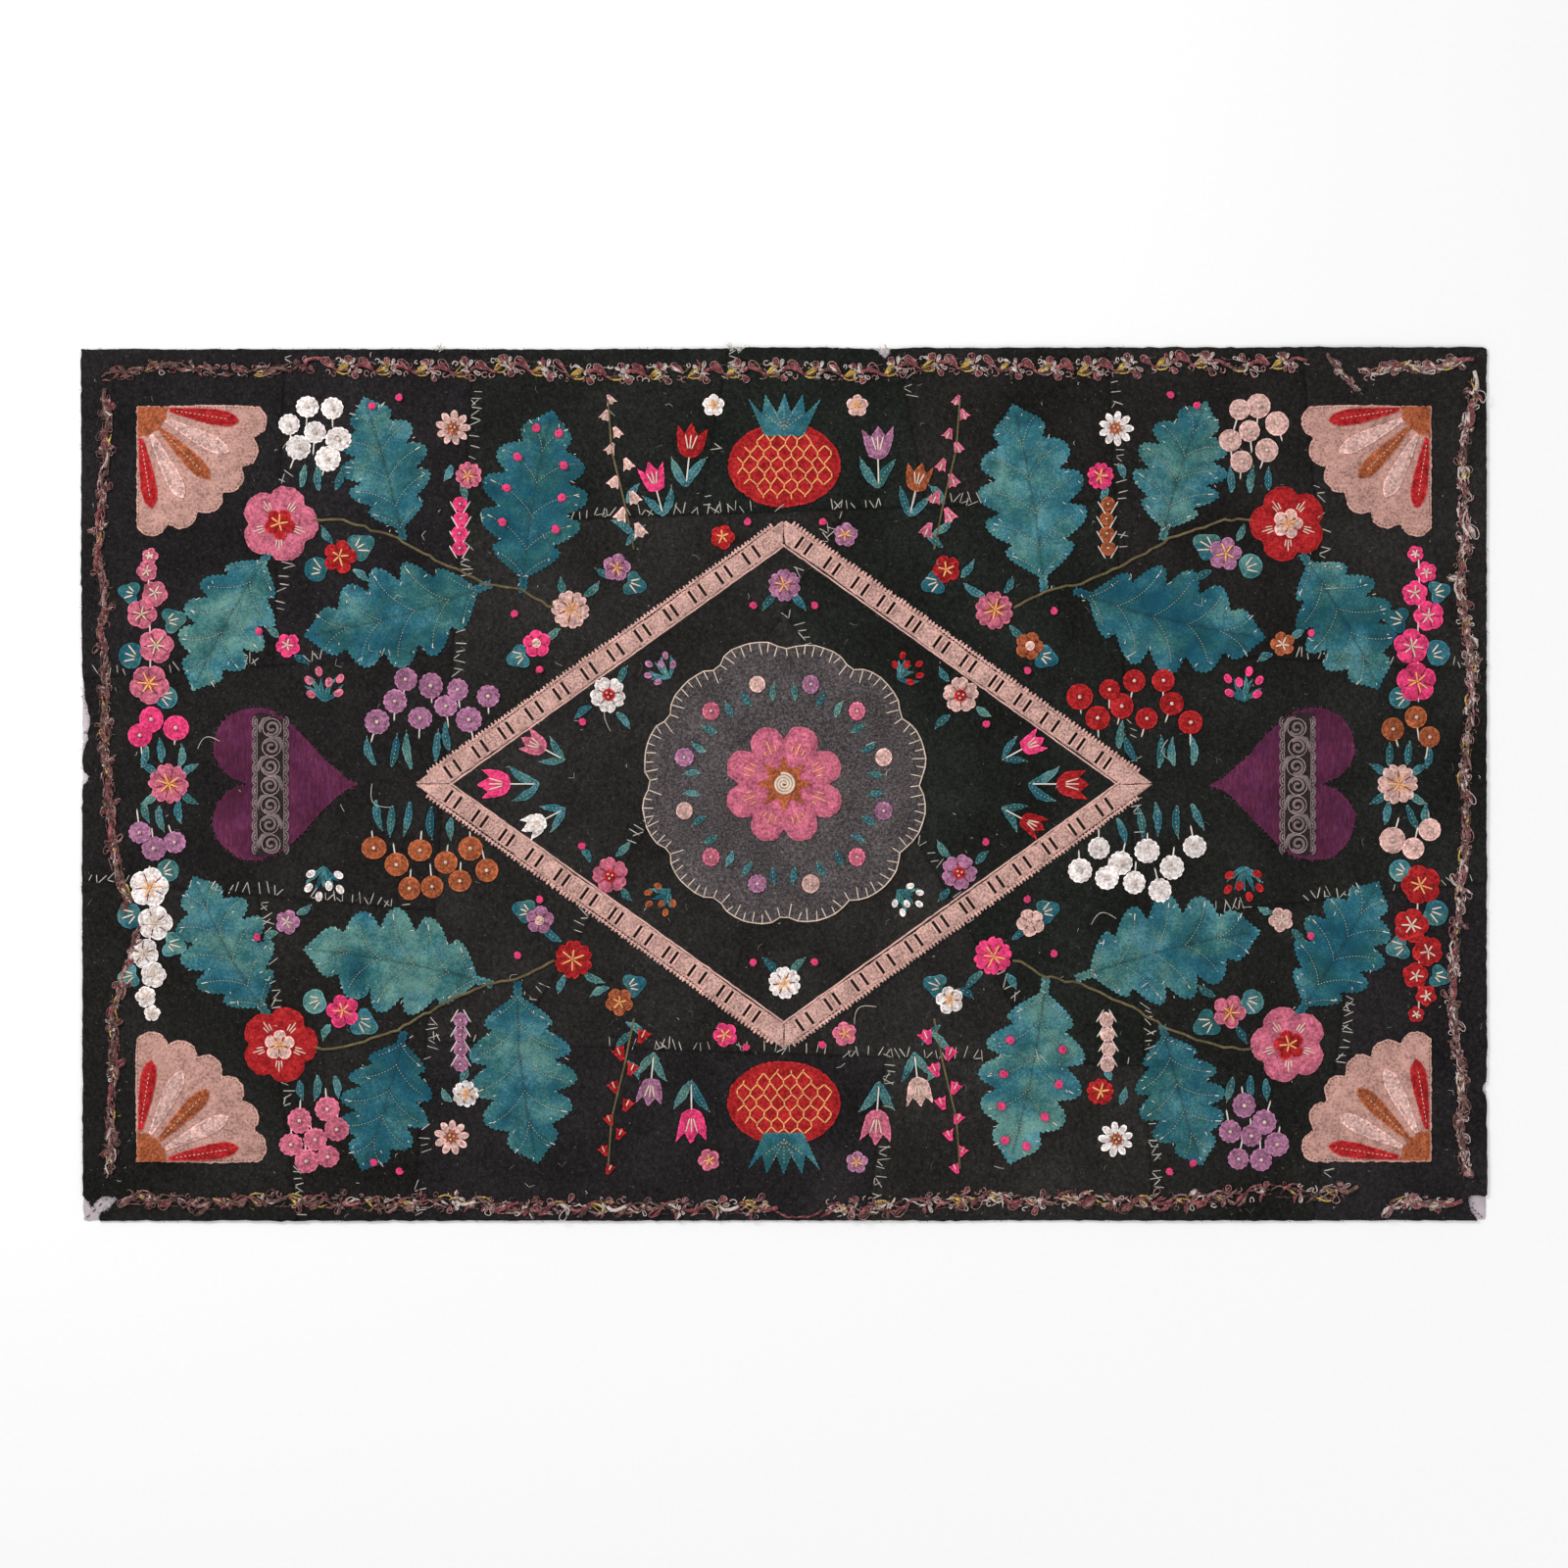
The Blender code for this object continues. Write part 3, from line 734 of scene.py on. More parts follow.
def knobbly_lace(name, colour):
    """Thick cotton lace: a close crust of small loops, with a painted highlight on their tops and painted
    shade between them.
    """
    cloth = Finish(name, roughness=0.85)
    loops = cloth.noise(0.0017, 2.0, 0.75)
    soil = cloth.noise(0.016, 3.0, 0.6)
    # The crust mixes a little soil with painted light on the loops: painted highlight on their tops,
    # painted shade between them.
    crust = cloth.average(soil, loops, 0.78)
    shade = cloth.shades(crust, colour, (0.36, 0.42), (0.47, 0.9), (0.56, 1.25), (0.66, 1.6))
    return cloth.done(cloth.toned(shade), loops, 0.0012)


def thread(name, colour, light=1.25, dark=0.7):
    """Spun thread with small changes of colour along it."""
    yarn = Finish(name, roughness=0.65, sheen=0.1, specular=0.15)
    ply = yarn.noise(0.0012, 2.0, 0.7)
    twist = yarn.average(yarn.noise(0.009, 2.0), ply, 0.5)
    shade = yarn.shades(twist, colour, (0.36, dark), (0.5, 1.0), (0.64, light))
    return yarn.done(shade, ply, 0.0004)


def chenille(name, colour):
    """Fuzzy silk yarn, with painted highlights and painted shade in its pile."""
    yarn = Finish(name, roughness=0.7, sheen=0.15, specular=0.12)
    pile = yarn.noise(0.0010, 3.0, 0.85)
    # Painted shade and painted highlights in the pile, from much the same noise as its relief.
    shade = yarn.ramp(
        yarn.average(yarn.noise(0.005, 2.0), pile, 0.68),
        (0.40, scaled(colour, 0.24)),
        (0.5, scaled(colour, 0.74)),
        (0.61, blended(scaled(colour, 2.5), (0.82, 0.62, 0.55), 0.24)),
    )
    return yarn.done(shade, pile, 0.0009)


def floor_finish(name, colour):
    """Smooth matt studio paper."""
    paper = Finish(name, roughness=0.9, sheen=0.0, specular=0.1)
    tooth = paper.noise(0.004, 2.0)
    shade = paper.shades(tooth, colour, (0.3, 0.985), (0.7, 1.0))
    return paper.done(shade, tooth, 0.00005)


FINISHES = {}
# How far each dyed wool leans to its faded and to its greenish patches, and where in the dye it lies.
TEALS = {"teal_deep": (-0.040, -0.04, 0.0), "teal_mid": (0.0, 0.0, 2.0), "teal_soft": (0.035, 0.05, 5.0)}
FELTS = {
    "red_felt": 1.5, "rose_felt": 1.6, "orange_felt": 1.7, "taupe_felt": 1.28, "magenta_felt": 1.55,
    "lilac_felt": 1.65, "white_felt": 1.55, "cream_felt": 1.55,
}
THREADS = (
    "white_thread", "cream_thread", "yellow_thread", "gold_thread", "dark_thread", "plum_thread",
)
CORDS = {
    "pink_cord": ("pink_lace", 1.35), "grey_cord": ("grey_lace", 1.3),
    "pale_grey_cord": ("grey_lace", 2.3), "rosebud": ("magenta_felt", 1.0),
    "canvas_thread": ("canvas", 1.1), "wool_thread": ("black_wool", 1.5),
    "lint_pale": ("white_thread", 0.75), "lint_dim": ("white_thread", 0.22),
    "grass_thread": ("white_thread", 0.62), "crease_thread": ("red_felt", 0.42),
}


CLOTHS = {
    "black_wool": black_wool, "charcoal_felt": heathered_felt, "purple_twill": twill,
    "canvas": canvas_weave, "pink_lace": knobbly_lace, "grey_lace": knobbly_lace,
    "floor_paper": floor_finish,
}


def finish(name):
    """The material of one cloth or thread, made the first time it is asked for."""
    if name not in FINISHES:
        FINISHES[name] = make_finish(name)
    return FINISHES[name]


def make_finish(name):
    """The material of a name, in the panel's colours."""
    paint = bpy.context.scene.rug_colours

    def colour(prop):
        return tuple(getattr(paint, prop))

    if name in TEALS:
        dyes = (colour("teal_shadow"), colour("teal_wool"), colour("teal_faded"))
        return mottled_wool(name, *dyes, *TEALS[name])
    if name in FELTS:
        return felt(name, colour(name), FELTS[name], len(name) * 1.7)
    if name in THREADS:
        return thread(name, colour(name))
    if name in CORDS:
        source, strength = CORDS[name]
        return thread(name, scaled(colour(source), strength), 1.4, 0.6)
    if name == "olive_cord":
        return thread(name, colour(name), 1.6, 0.5)
    if name in YARNS:
        return chenille(name, colour(name))
    return CLOTHS[name](name, colour(name))


# ---- settings


def dye(name, description, default):
    """A colour that can be set in the panel."""
    return bpy.props.FloatVectorProperty(
        name=name, description=description, subtype="COLOR", size=3, min=0.0, max=1.0, default=default
    )


def measure(name, description, default):
    """A length that can be set in the panel."""
    return bpy.props.FloatProperty(
        name=name, description=description, unit="LENGTH", min=0.0, precision=5, default=default
    )


class RugColours(bpy.types.PropertyGroup):
    """Colours of the cloths, felts, threads and yarns"""

    black_wool: dye("Ground", "Felted black wool of the ground", (0.0142, 0.0131, 0.0122))
    canvas: dye("Canvas", "Backing canvas, seen where the edge is worn", (0.50, 0.44, 0.47))
    teal_shadow: dye("Deep teal", "Darkest patches of the dyed leaves", (0.010, 0.066, 0.094))
    teal_wool: dye("Teal", "Dyed wool of the leaves", (0.028, 0.120, 0.148))
    teal_faded: dye("Faded teal", "Faded patches of the leaves", (0.100, 0.228, 0.240))
    charcoal_felt: dye("Charcoal", "Heathered felt of the medallion", (0.060, 0.052, 0.052))
    purple_twill: dye("Purple", "Twill of the hearts", (0.0846, 0.015, 0.0468))
    grey_lace: dye("Grey lace", "Scroll lace across the hearts", (0.150, 0.108, 0.110))
    pink_lace: dye("Pink lace", "Beading lace of the diamond", (0.53, 0.318, 0.276))
    red_felt: dye("Red", "Red felt", (0.356, 0.013, 0.0154))
    rose_felt: dye("Rose", "Rose felt", (0.494, 0.118, 0.181))
    orange_felt: dye("Rust", "Rust felt", (0.302, 0.0774, 0.0295))
    taupe_felt: dye("Taupe", "Taupe felt of the corner fans", (0.465, 0.256, 0.216))
    magenta_felt: dye("Magenta", "Magenta felt", (0.684, 0.043, 0.158))
    lilac_felt: dye("Lilac", "Lilac felt", (0.315, 0.130, 0.225))
    white_felt: dye("White", "White felt", (0.76, 0.66, 0.63))
    cream_felt: dye("Cream pink", "Pale pink felt", (0.60, 0.37, 0.33))
    white_thread: dye("White thread", "Stems and grass stitches", (0.76, 0.70, 0.63))
    cream_thread: dye("Cream thread", "Blanket stitch and knots", (0.76, 0.60, 0.48))
    yellow_thread: dye("Yellow thread", "Honeycomb and flower centres", (0.897, 0.441, 0.161))
    gold_thread: dye("Gold thread", "Machine stitches on the leaves", (0.50, 0.47, 0.33))
    dark_thread: dye("Dark thread", "Midribs and creases", (0.030, 0.035, 0.033))
    plum_thread: dye("Plum thread", "Frayed threads of the hearts", (0.16, 0.05, 0.09))
    olive_cord: dye("Olive cord", "Stems of the sprays", (0.125, 0.095, 0.042))
    braid_burgundy: dye("Burgundy yarn", "Leaves of the braid", (0.255, 0.042, 0.055))
    braid_pink: dye("Pink yarn", "Outlines in the braid", (0.50, 0.235, 0.225))
    braid_yellow: dye("Yellow yarn", "Yellow leaves of the braid", (0.76, 0.42, 0.07))
    braid_white: dye("White yarn", "White loops of the braid", (0.97, 0.77, 0.69))
    braid_mauve: dye("Mauve yarn", "Worn loops of the braid", (0.335, 0.172, 0.170))
    braid_brown: dye("Brown yarn", "Worn ground yarn of the braid", (0.132, 0.052, 0.040))
    floor_paper: dye("Floor", "Plain pale studio floor", (0.90, 0.90, 0.90))


class RugSizes(bpy.types.PropertyGroup):
    """Sizes of the cloths and stitches"""

    felt: measure("Felt", "Thickness of the felt pieces", 0.0013)
    wool: measure("Wool", "Thickness of the dyed wool leaves", 0.0011)
    tooth: measure("Pinked tooth", "Distance between the teeth of a pinked edge", 0.0045)
    braid_repeat: measure("Braid repeat", "Distance from one braid spray to the next", 0.033)
    machine_stitch: measure("Machine stitch", "Length of a machine stitch", 0.0025)
    blanket_stitch: measure("Blanket stitch", "Distance between blanket stitches", 0.0085)
    honeycomb: measure("Honeycomb", "Width of a honeycomb stitch", 0.0115)
    grass: measure("Grass stitch", "Length of the straight stitches on the seams", 0.0095)


def sizes():
    """The panel's sizes."""
    return bpy.context.scene.rug_sizes


# ---- canvas and ground

# Seams of the ground: a point on each in millimetres, and its turn in degrees.
SEAMS = (
    (-290, 0, 86), (295, 0, 93), (-450, 100, 4), (-450, -95, -5), (450, 105, -3), (450, -100, 6),
    (0, 232, 2), (0, -230, -2), (-60, 300, 80), (110, 300, 100), (450, 280, 95), (-430, 250, 88),
    (-80, 20, 58), (120, -60, 120), (-430, -250, 97), (80, -300, 84), (470, -240, 82),
)
SEAM_LINES = []
GROUND_THICKNESS = 0.0020
CANVAS_THICKNESS = 0.0010
TURNED_STRIP = 0.0016


def make_canvas():
    outline = cad_outline("backing_canvas")
    cut = hand_cut(outline, seeded("canvas"), 0.004, 0.0004)

    def relief(at, edge):
        return 0.0001 * swell(at, 0.02, 3) - 0.0002, 1.0 + 0.12 * swell(at, 0.015, 4)

    mesh = cut_cloth(cut, 0.012, CANVAS_THICKNESS, relief, rest=0.0, rim=0)
    put_down("backing_canvas", mesh, "canvas", outline)


def cut_patches(mesh):
    """Cuts the flat ground into patches along its seams, with a turned-in strip beside each."""
    for x, y, degrees in SEAMS:
        for face in mesh.faces:
            if inside(np.array([vert.co[:2] for vert in face.verts]), x * MM, y * MM):
                break
        turn = math.radians(degrees)
        across = (-math.sin(turn), math.cos(turn))
        cut = slice_sheet(mesh, (x * MM, y * MM), across, [face, *face.edges, *face.verts])
        ends = np.array([item.co[:2] for item in cut if isinstance(item, bmesh.types.BMVert)])
        along = ends @ np.array([math.cos(turn), math.sin(turn)])
        SEAM_LINES.append((ends[np.argmin(along)], ends[np.argmax(along)]))
    patch = mesh.faces.layers.float.new("patch")
    rng = seeded("patches")
    for face in mesh.faces:
        face[patch] = rng.uniform(0, 1)
    bmesh.ops.inset_individual(mesh, faces=mesh.faces[:], thickness=TURNED_STRIP, use_even_offset=True)


def make_ground():
    """Cuts the black wool ground from its patches, with the seams pressed in."""
    outline = cad_outline("ground_cloth")
    cut = hand_cut(outline, seeded("ground"), 0.005, 0.00025)
    mesh = flat_sheet(cut)
    cut_patches(mesh)
    divide(mesh, 0.0085)

    def relief(at, edge):
        seam = nearest(at, SEAM_LINES)
        rise = 0.0003 * swell(at, 0.10, 11) + 0.00006 * swell(at, 0.03, 12)
        rise = rise + 0.0004 * dip(seam - 0.004, 0.003)
        rise = rise - 0.0009 * dip(seam, 0.0012) * (1 - dip(edge, 0.004)) - 0.0006 * dip(edge, 0.0025)
        # Painted shade in the pressed seams, with random tone.
        dark = 1.0 - 0.35 * dip(seam, 0.0012) + 0.07 * swell(at, 0.05, 13)
        return rise, dark

    # The ground's cut edge gets a painted highlight.
    shape_sheet(mesh, cut, GROUND_THICKNESS, relief, 1.0, GROUND_TOP - GROUND_THICKNESS, 1.1)
    close_under(mesh, GROUND_THICKNESS)
    put_down("ground_cloth", mesh, "black_wool", outline)


# ---- leaves

LEAF_SLOTS = {
    "ne": ("teal_mid", "teal_soft", "teal_deep", "teal_mid"),
    "nw": ("teal_deep", "teal_mid", "teal_mid", "teal_soft"),
    "sw": ("teal_mid", "teal_deep", "teal_soft", "teal_mid"),
    "se": ("teal_soft", "teal_mid", "teal_mid", "teal_deep"),
}
LEAF_LOBES = 5
LOBE_STEPS = 4


def leaf_veins(loop):
    """The midrib of a leaf, and its side veins, each from the midrib out into a lobe."""
    middle, left, right = spine(loop)
    veins = []
    for lobe in range(LEAF_LOBES):
        tip = 2 + LOBE_STEPS * lobe
        root = min(len(middle) - 2, tip + 3)
        for side in (left, right):
            start = middle[root]
            bend = middle[tip + 1] + 0.30 * (side[tip] - middle[tip + 1])
            end = middle[tip] + 0.74 * (side[tip] - middle[tip])
            shares = np.linspace(0, 1, 9)[:, None]
            veins.append((1 - shares) ** 2 * start + 2 * shares * (1 - shares) * bend + shares**2 * end)
    return middle, veins


def make_leaf(name, slot, stitching):
    """Cuts and stitches one pinked leaf, raised between its veins."""
    rng = seeded(name)
    loop = cad_outline(name)
    midrib, veins = leaf_veins(loop)
    outline = pinked(soften(loop, 0.0011), rng, sizes().tooth)
    wave = int(rng.integers(1000))

    def relief(at, edge):
        rib = nearest(at, [midrib[1:]])
        side = nearest(at, veins)
        rise = 0.0013 * (1 - dip(edge, 0.006)) * (0.8 + 0.5 * swell(at, 0.025, wave))
        trough = 0.0011 * dip(rib, 0.0022) + 0.0008 * dip(side, 0.0019)
        pucker = 0.00035 * swell(at, 0.007, wave + 1) * (dip(side, 0.007) + dip(rib, 0.007))
        rise = np.maximum(0.0, rise - trough + pucker) + 0.0004 * swell(at, 0.012, wave + 2)
        rise = rise * (1 - dip(edge, 0.002))
        # Painted shade along the troughs of the midrib and side veins, with random tone below.
        dark = 1.0 - 0.28 * dip(rib, 0.0014) - 0.20 * dip(side, 0.0013)
        return rise, dark + 0.10 * swell(at, 0.018, wave + 3)

    mesh = cut_cloth(outline, 0.0022, sizes().wool, relief, shade=rng.uniform(0.92, 1.08))
    put_down(name, mesh, slot, loop)
    stitch = sizes().machine_stitch
    stitching["dark"].dashes(midrib[1:], 0.00033, stitch * 0.72, stitch * 0.28, rng)
    for vein in veins:
        stitching["gold"].dashes(vein, MACHINE_THREAD, stitch * 0.60, stitch * 0.40, rng)
        if rng.random() < 0.6:
            way = vein[-1] - vein[-2]
            way = way / np.linalg.norm(way)
            stitching["white"].stitch(vein[-1], vein[-1] + way * rng.uniform(0.003, 0.006), 0.0004)
    tack_edge(outline, rng, stitching["white"], 0.026)


def tack_edge(outline, rng, threads, spacing):
    """Small tacking stitches just inside a cut edge."""
    for place, way, out in round_edge(outline, spacing):
        start = place - out * rng.uniform(0.0012, 0.0028) + way * rng.normal(0, 0.004)
        lean = way * rng.normal(0, 0.6) - out
        threads.stitch(start, start + lean * rng.uniform(0.0015, 0.0032), 0.00032)


def make_leaves():
    stitching = {
        "dark": Threads("leaf_midrib_stitches", ["dark_thread"], "dark_thread"),
        "gold": Threads("leaf_vein_stitches", ["gold_thread"], "white_thread"),
        "white": Threads("leaf_tacking", ["white_thread"], "white_thread"),
    }
    for quarter, slots in LEAF_SLOTS.items():
        for letter, slot in zip("abcd", slots):
            make_leaf(f"leaf_{quarter}_{letter}", slot, stitching)
    for threads in stitching.values():
        threads.finish()


# ---- border braid

YARNS = ("braid_burgundy", "braid_pink", "braid_yellow", "braid_white", "braid_mauve", "braid_brown")
BURGUNDY, PINK, YELLOW, WHITE, MAUVE, BROWN = range(6)
# What each yarn looks like once it is rubbed and soiled.
RUBBED = {
    BURGUNDY: (BURGUNDY, MAUVE, BROWN, BROWN),
    PINK: (PINK, MAUVE, MAUVE, BROWN),
    YELLOW: (YELLOW, BROWN, BROWN, MAUVE),
    WHITE: (WHITE, WHITE, PINK, MAUVE),
    MAUVE: (MAUVE, PINK, BROWN, BROWN),
    BROWN: (BROWN, BROWN, BROWN, MAUVE),
}
# The yarns of a soiled place, and the share of clean yarn that worn braid has faded to white.
DIRTY = (BROWN, BROWN, BROWN, BURGUNDY, MAUVE)
FADED = 0.20
# How worn each length of braid is, from 0, as new, to 1, matted.
BRAIDS = {
    "top_left": 0.75, "top": 0.06, "tail": 1.0, "top_right": 0.6, "right": 1.0, "bottom_right": 0.7,
    "bottom_east": 0.35, "bottom_west": 0.45, "left_low": 0.8, "left": 0.8,
}
# How much of the yarn is soiled at each end of a length, and how much of it is lost.
SOIL = {
    "top_left": (0.95, 0.75, 0.45), "top": (0.0, 0.0, 0.08), "left": (0.85, 0.85, 0.0),
    "left_low": (0.55, 0.75, 0.0), "bottom_west": (0.85, 0.0, 0.30),
    "bottom_east": (0.0, 0.60, 0.30), "right": (0.25, 0.0, 0.0),
}
# One repeat in millimetres: petals from a start to an end, with a width, a yarn and a rim yarn.
PETALS = (
    ((-14.5, -1.0), (-25.0, 8.6), 6.6, BURGUNDY, PINK),
    ((-11.5, -4.0), (-1.7, 3.4), 4.4, YELLOW, YELLOW),
    ((-9.5, -4.2), (-2.5, -2.6), 2.8, BROWN, BROWN),
    ((-0.9, 2.6), (-3.2, 10.6), 5.2, BURGUNDY, PINK),
    ((1.5, 2.4), (3.4, 8.8), 2.6, WHITE, WHITE),
    ((-2.4, 3.0), (-7.4, 7.0), 2.3, WHITE, WHITE),
    ((2.2, -4.2), (6.2, -10.4), 5.0, BURGUNDY, PINK),
    ((5.0, -2.0), (10.0, -5.0), 3.2, MAUVE, WHITE),
)
RINGS = (
    ((-10.6, 6.4), 2.1, WHITE), ((-19.4, -5.4), 2.6, PINK), ((-14.2, -7.2), 2.3, MAUVE),
    ((-0.6, -6.8), 2.0, MAUVE),
)
CORDS_OF_REPEAT = (
    ([(2.4, -0.8), (6.0, 2.2), (10.5, 2.2), (15.0, 0.4), (18.6, -1.2)], 1.6, BURGUNDY),
    ([(-11.5, -4.6), (-7.0, -6.6), (-2.6, -6.2), (0.4, -3.6)], 0.8, YELLOW),
    ([(-15.0, -1.6), (-12.6, -3.6), (-9.0, -5.0)], 1.2, BURGUNDY),
    ([(-22.0, 6.5), (-16.0, 5.6), (-10.0, 6.0)], 0.35, BROWN),
)
# How often each yarn shows in the worn rope, and in the fibres over it.
MATTED = (0.24, 0.14, 0.06, 0.10, 0.20, 0.26)
FUZZ = (0.06, 0.24, 0.05, 0.38, 0.19, 0.08)
# Strands of the worn rope, loose tufts on each repeat, and the half width of braid as new.
STRANDS = 4
SPRAY_TUFTS = 8
HALF_BRAID = 0.0105


def teardrop(at, turn, length, width, count=10):
    """A loop of yarn that leaves a place and comes back to it."""
    share = np.linspace(0, 1, count)
    loop = np.stack([np.sin(math.pi * share) * length, np.sin(TAU * share) * width / 2], axis=1)
    return placed(loop, at, turn)


class Braid:
    """One length of the border braid, made along its CAD piece."""

    def __init__(self, part, wear):
        self.node = f"braid_{part}"
        self.rng = seeded(self.node)
        self.wear = wear
        self.soil_start, self.soil_end, self.lost = SOIL.get(part, (0.0, 0.0, 0.0))
        line, left, right = spine(cad_outline(self.node))
        axis = int(abs(line[-1, 0] - line[0, 0]) < abs(line[-1, 1] - line[0, 1]))
        if line[-1, axis] < line[0, axis]:
            line, left, right = line[::-1], right[::-1], left[::-1]
        self.points, self.along, self.length = walk(line, 0.002)
        self.half = float(np.mean(np.linalg.norm(left - right, axis=1))) / 2
        self.squeeze = min(1.0, self.half / HALF_BRAID)
        self.flip = -1 if part.startswith(("bottom", "right")) else 1
        slot = "braid_worn" if wear > 0.5 else "braid_crisp"
        self.threads = Threads(f"{self.node}_yarn", YARNS, slot)

    def spot(self, run, side):
        """The place on the rug at a distance along the braid and to its side."""
        step = run / self.length * (len(self.points) - 1)
        low = np.clip(np.floor(step).astype(int), 0, len(self.points) - 2)
        part = np.clip(step - low, -4, 5)[:, None]
        point = self.points[low] * (1 - part) + self.points[low + 1] * part
        along = self.along[low]
        return point - outward(along) * (side * self.flip)[:, None]

    def soiled(self, at, colour):
        """The yarn to use at a distance along the braid: browned by dirt, or faded where it is clean."""
        soil = self.soil_start + (self.soil_end - self.soil_start) * at / self.length
        share = self.rng.random()
        if share < soil * (0.45 if colour == YELLOW else 1.0):
            return int(self.rng.choice(DIRTY))
        return WHITE if share > 1 - FADED * (1 - soil) * self.wear else colour

    def yarn(self, at, shape, radius, colour, lift):
        """Lays a shape drawn in millimetres around a place along the braid, bent as its wear says."""
        rng = self.rng
        if rng.random() < self.lost:
            return
        if rng.random() < self.wear:
            colour = int(rng.choice(RUBBED[colour]))
        colour = self.soiled(at, colour)
        shape = np.asarray(shape, float) * (1, self.squeeze)
        share = np.linspace(0, 1, len(shape))[:, None]
        bends = rng.normal(0, 0.10 + 0.55 * self.wear, (3, 2))
        shape = shape + bends[0] + bends[1] * share + bends[2] * np.sin(math.pi * share)
        shape = shape + rng.normal(0, 0.10, shape.shape)
        radius = np.asarray(radius) * MM
        flat = self.spot(at + shape[:, 0] * MM, shape[:, 1] * MM)
        rise = GROUND_TOP + radius + (lift + rng.uniform(-0.1, 0.3, len(flat))) * MM
        self.threads.run(flat, rise, radius, colour)

    def petal(self, at, start, end, width, colour, rim):
        """A filled yarn petal in a paler outline."""
        rng = self.rng
        start = np.array(start) + rng.normal(0, 0.3 + self.wear, 2)
        span = np.array(end) - start + rng.normal(0, 0.6 + 1.6 * self.wear, 2)
        across = np.array([-span[1], span[0]]) / np.linalg.norm(span)
        width *= rng.uniform(0.85, 1.2)
        share = np.array([0.0, 0.18, 0.5, 0.8, 1.0])
        bulge = np.sin(math.pi * np.clip(share, 0.10, 0.92))
        for side in (-0.24, 0.24):
            line = start + share[:, None] * span + (bulge * side * width)[:, None] * across
            self.yarn(at, line, width * 0.26 * bulge, colour, 0.1)
        turn = math.degrees(math.atan2(span[1], span[0]))
        loop = teardrop(start, turn, np.linalg.norm(span) * 1.03, width * 1.05)
        self.yarn(at, loop, 0.35, rim, width * 0.24)

    def spray(self, at):
        """One repeat of the braid."""
        rng = self.rng
        for start, end, width, colour, rim in PETALS:
            if rng.random() > 0.06 + 0.3 * self.wear:
                self.petal(at, start, end, width, colour, rim)
        for centre, radius, colour in RINGS:
            if rng.random() > 0.25 + 0.3 * self.wear:
                turns = np.linspace(0, TAU * rng.uniform(0.55, 0.9), 9) + rng.uniform(0, TAU)
                ring = polar(turns, radius) * rng.uniform(0.55, 1.2, 2) + centre
                self.yarn(at, ring, 0.48, colour, 0.4)
        for line, radius, colour in CORDS_OF_REPEAT:
            self.yarn(at, line, radius * rng.uniform(0.8, 1.1), colour, 0.2)
        for _ in range(SPRAY_TUFTS):
            place = rng.normal(0, 1.6, 2) + (0.6, -0.6)
            tuft = teardrop(place, rng.uniform(0, 360), rng.uniform(2.4, 5.5), 1.4, 6)
            self.yarn(at, tuft, rng.uniform(0.30, 0.54), WHITE if rng.random() < 0.65 else MAUVE, 1.5)

    def mat(self):
        """Short lengths of mixed yarn, winding about each other in a loose rope under the sprays."""
        rng = self.rng
        for strand in range(STRANDS):
            start = 0.0
            while start < self.length - 0.004:
                end = min(self.length, start + rng.uniform(0.007, 0.022))
                if rng.random() < 0.15 + self.lost:
                    start = end
                    continue
                run = np.arange(start, end + 0.001, 0.0025)
                sway = np.sin(run / 0.0165 * math.pi + strand * 1.6) * 0.36 + rng.normal(0, 0.13)
                flat = self.spot(run, (sway + rng.normal(0, 0.05, len(run))) * self.half)
                thick = rng.uniform(0.00045, 0.00105, len(run))
                thick[[0, -1]] = 0.0003
                rise = GROUND_TOP + thick + rng.uniform(0, 0.0007, len(run))
                colour = self.soiled(start, int(rng.choice(6, p=MATTED)))
                self.threads.run(flat, rise, thick, colour)
                start = end - 0.003

    def fuzz(self, spacing):
        """Fine broken fibres over the braid, and standing off it."""
        rng = self.rng
        reach = self.half / MM
        for at in np.arange(0.0, self.length, spacing):
            start = np.array([rng.normal(0, 1.5), rng.normal(0, 0.45) * reach])
            share = np.linspace(0, 1, 3)
            length, curl = rng.uniform(1.5, 5.0), rng.normal(0, 3.5)
            hair = np.stack([share * length, share * (1 - share) * curl], axis=1)
            hair = placed(hair, start, rng.uniform(0, 360))
            colour = int(rng.choice(6, p=FUZZ))
            thick = rng.uniform(0.13, 0.30) * (1.5 if colour == WHITE else 1.0)
            self.yarn(at, hair, thick, colour, rng.uniform(0.8, 2.4))

    def make(self):
        """Makes the length, with its sprays over the rope and its fibres over both."""
        count = max(1, round(self.length / sizes().braid_repeat))
        for index in range(count):
            self.spray((index + 0.62) / count * self.length)
        if self.wear > 0.2:
            self.mat()
        self.fuzz(0.0036 - 0.0022 * self.wear)
        self.threads.finish(self.node)


def make_braid():
    for part, wear in BRAIDS.items():
        Braid(part, wear).make()


# ---- medallion


def flat_felt(name, slot, spacing, rng, wander=0.0003, relief=None):
    """A felt piece cut with plain scissors, for the CAD node of its name."""
    loop = cad_outline(name)
    outline = hand_cut(soften(loop, FELT_STEP), rng, SNIP, wander)
    seed = int(rng.integers(1000))

    def soft(at, edge):
        rise = 0.0004 * (1 - dip(edge, 0.004)) + 0.00022 * swell(at, 0.02, seed)
        return rise * (1 - dip(edge, 0.0015)), 1.0 + 0.06 * swell(at, 0.03, seed + 1)

    put_down(name, cut_cloth(outline, spacing, sizes().felt, relief or soft), slot, loop)
    return outline


# Lengths of the long and the short legs of the blanket stitch.
BLANKET_LEGS = (0.0112, 0.0078)


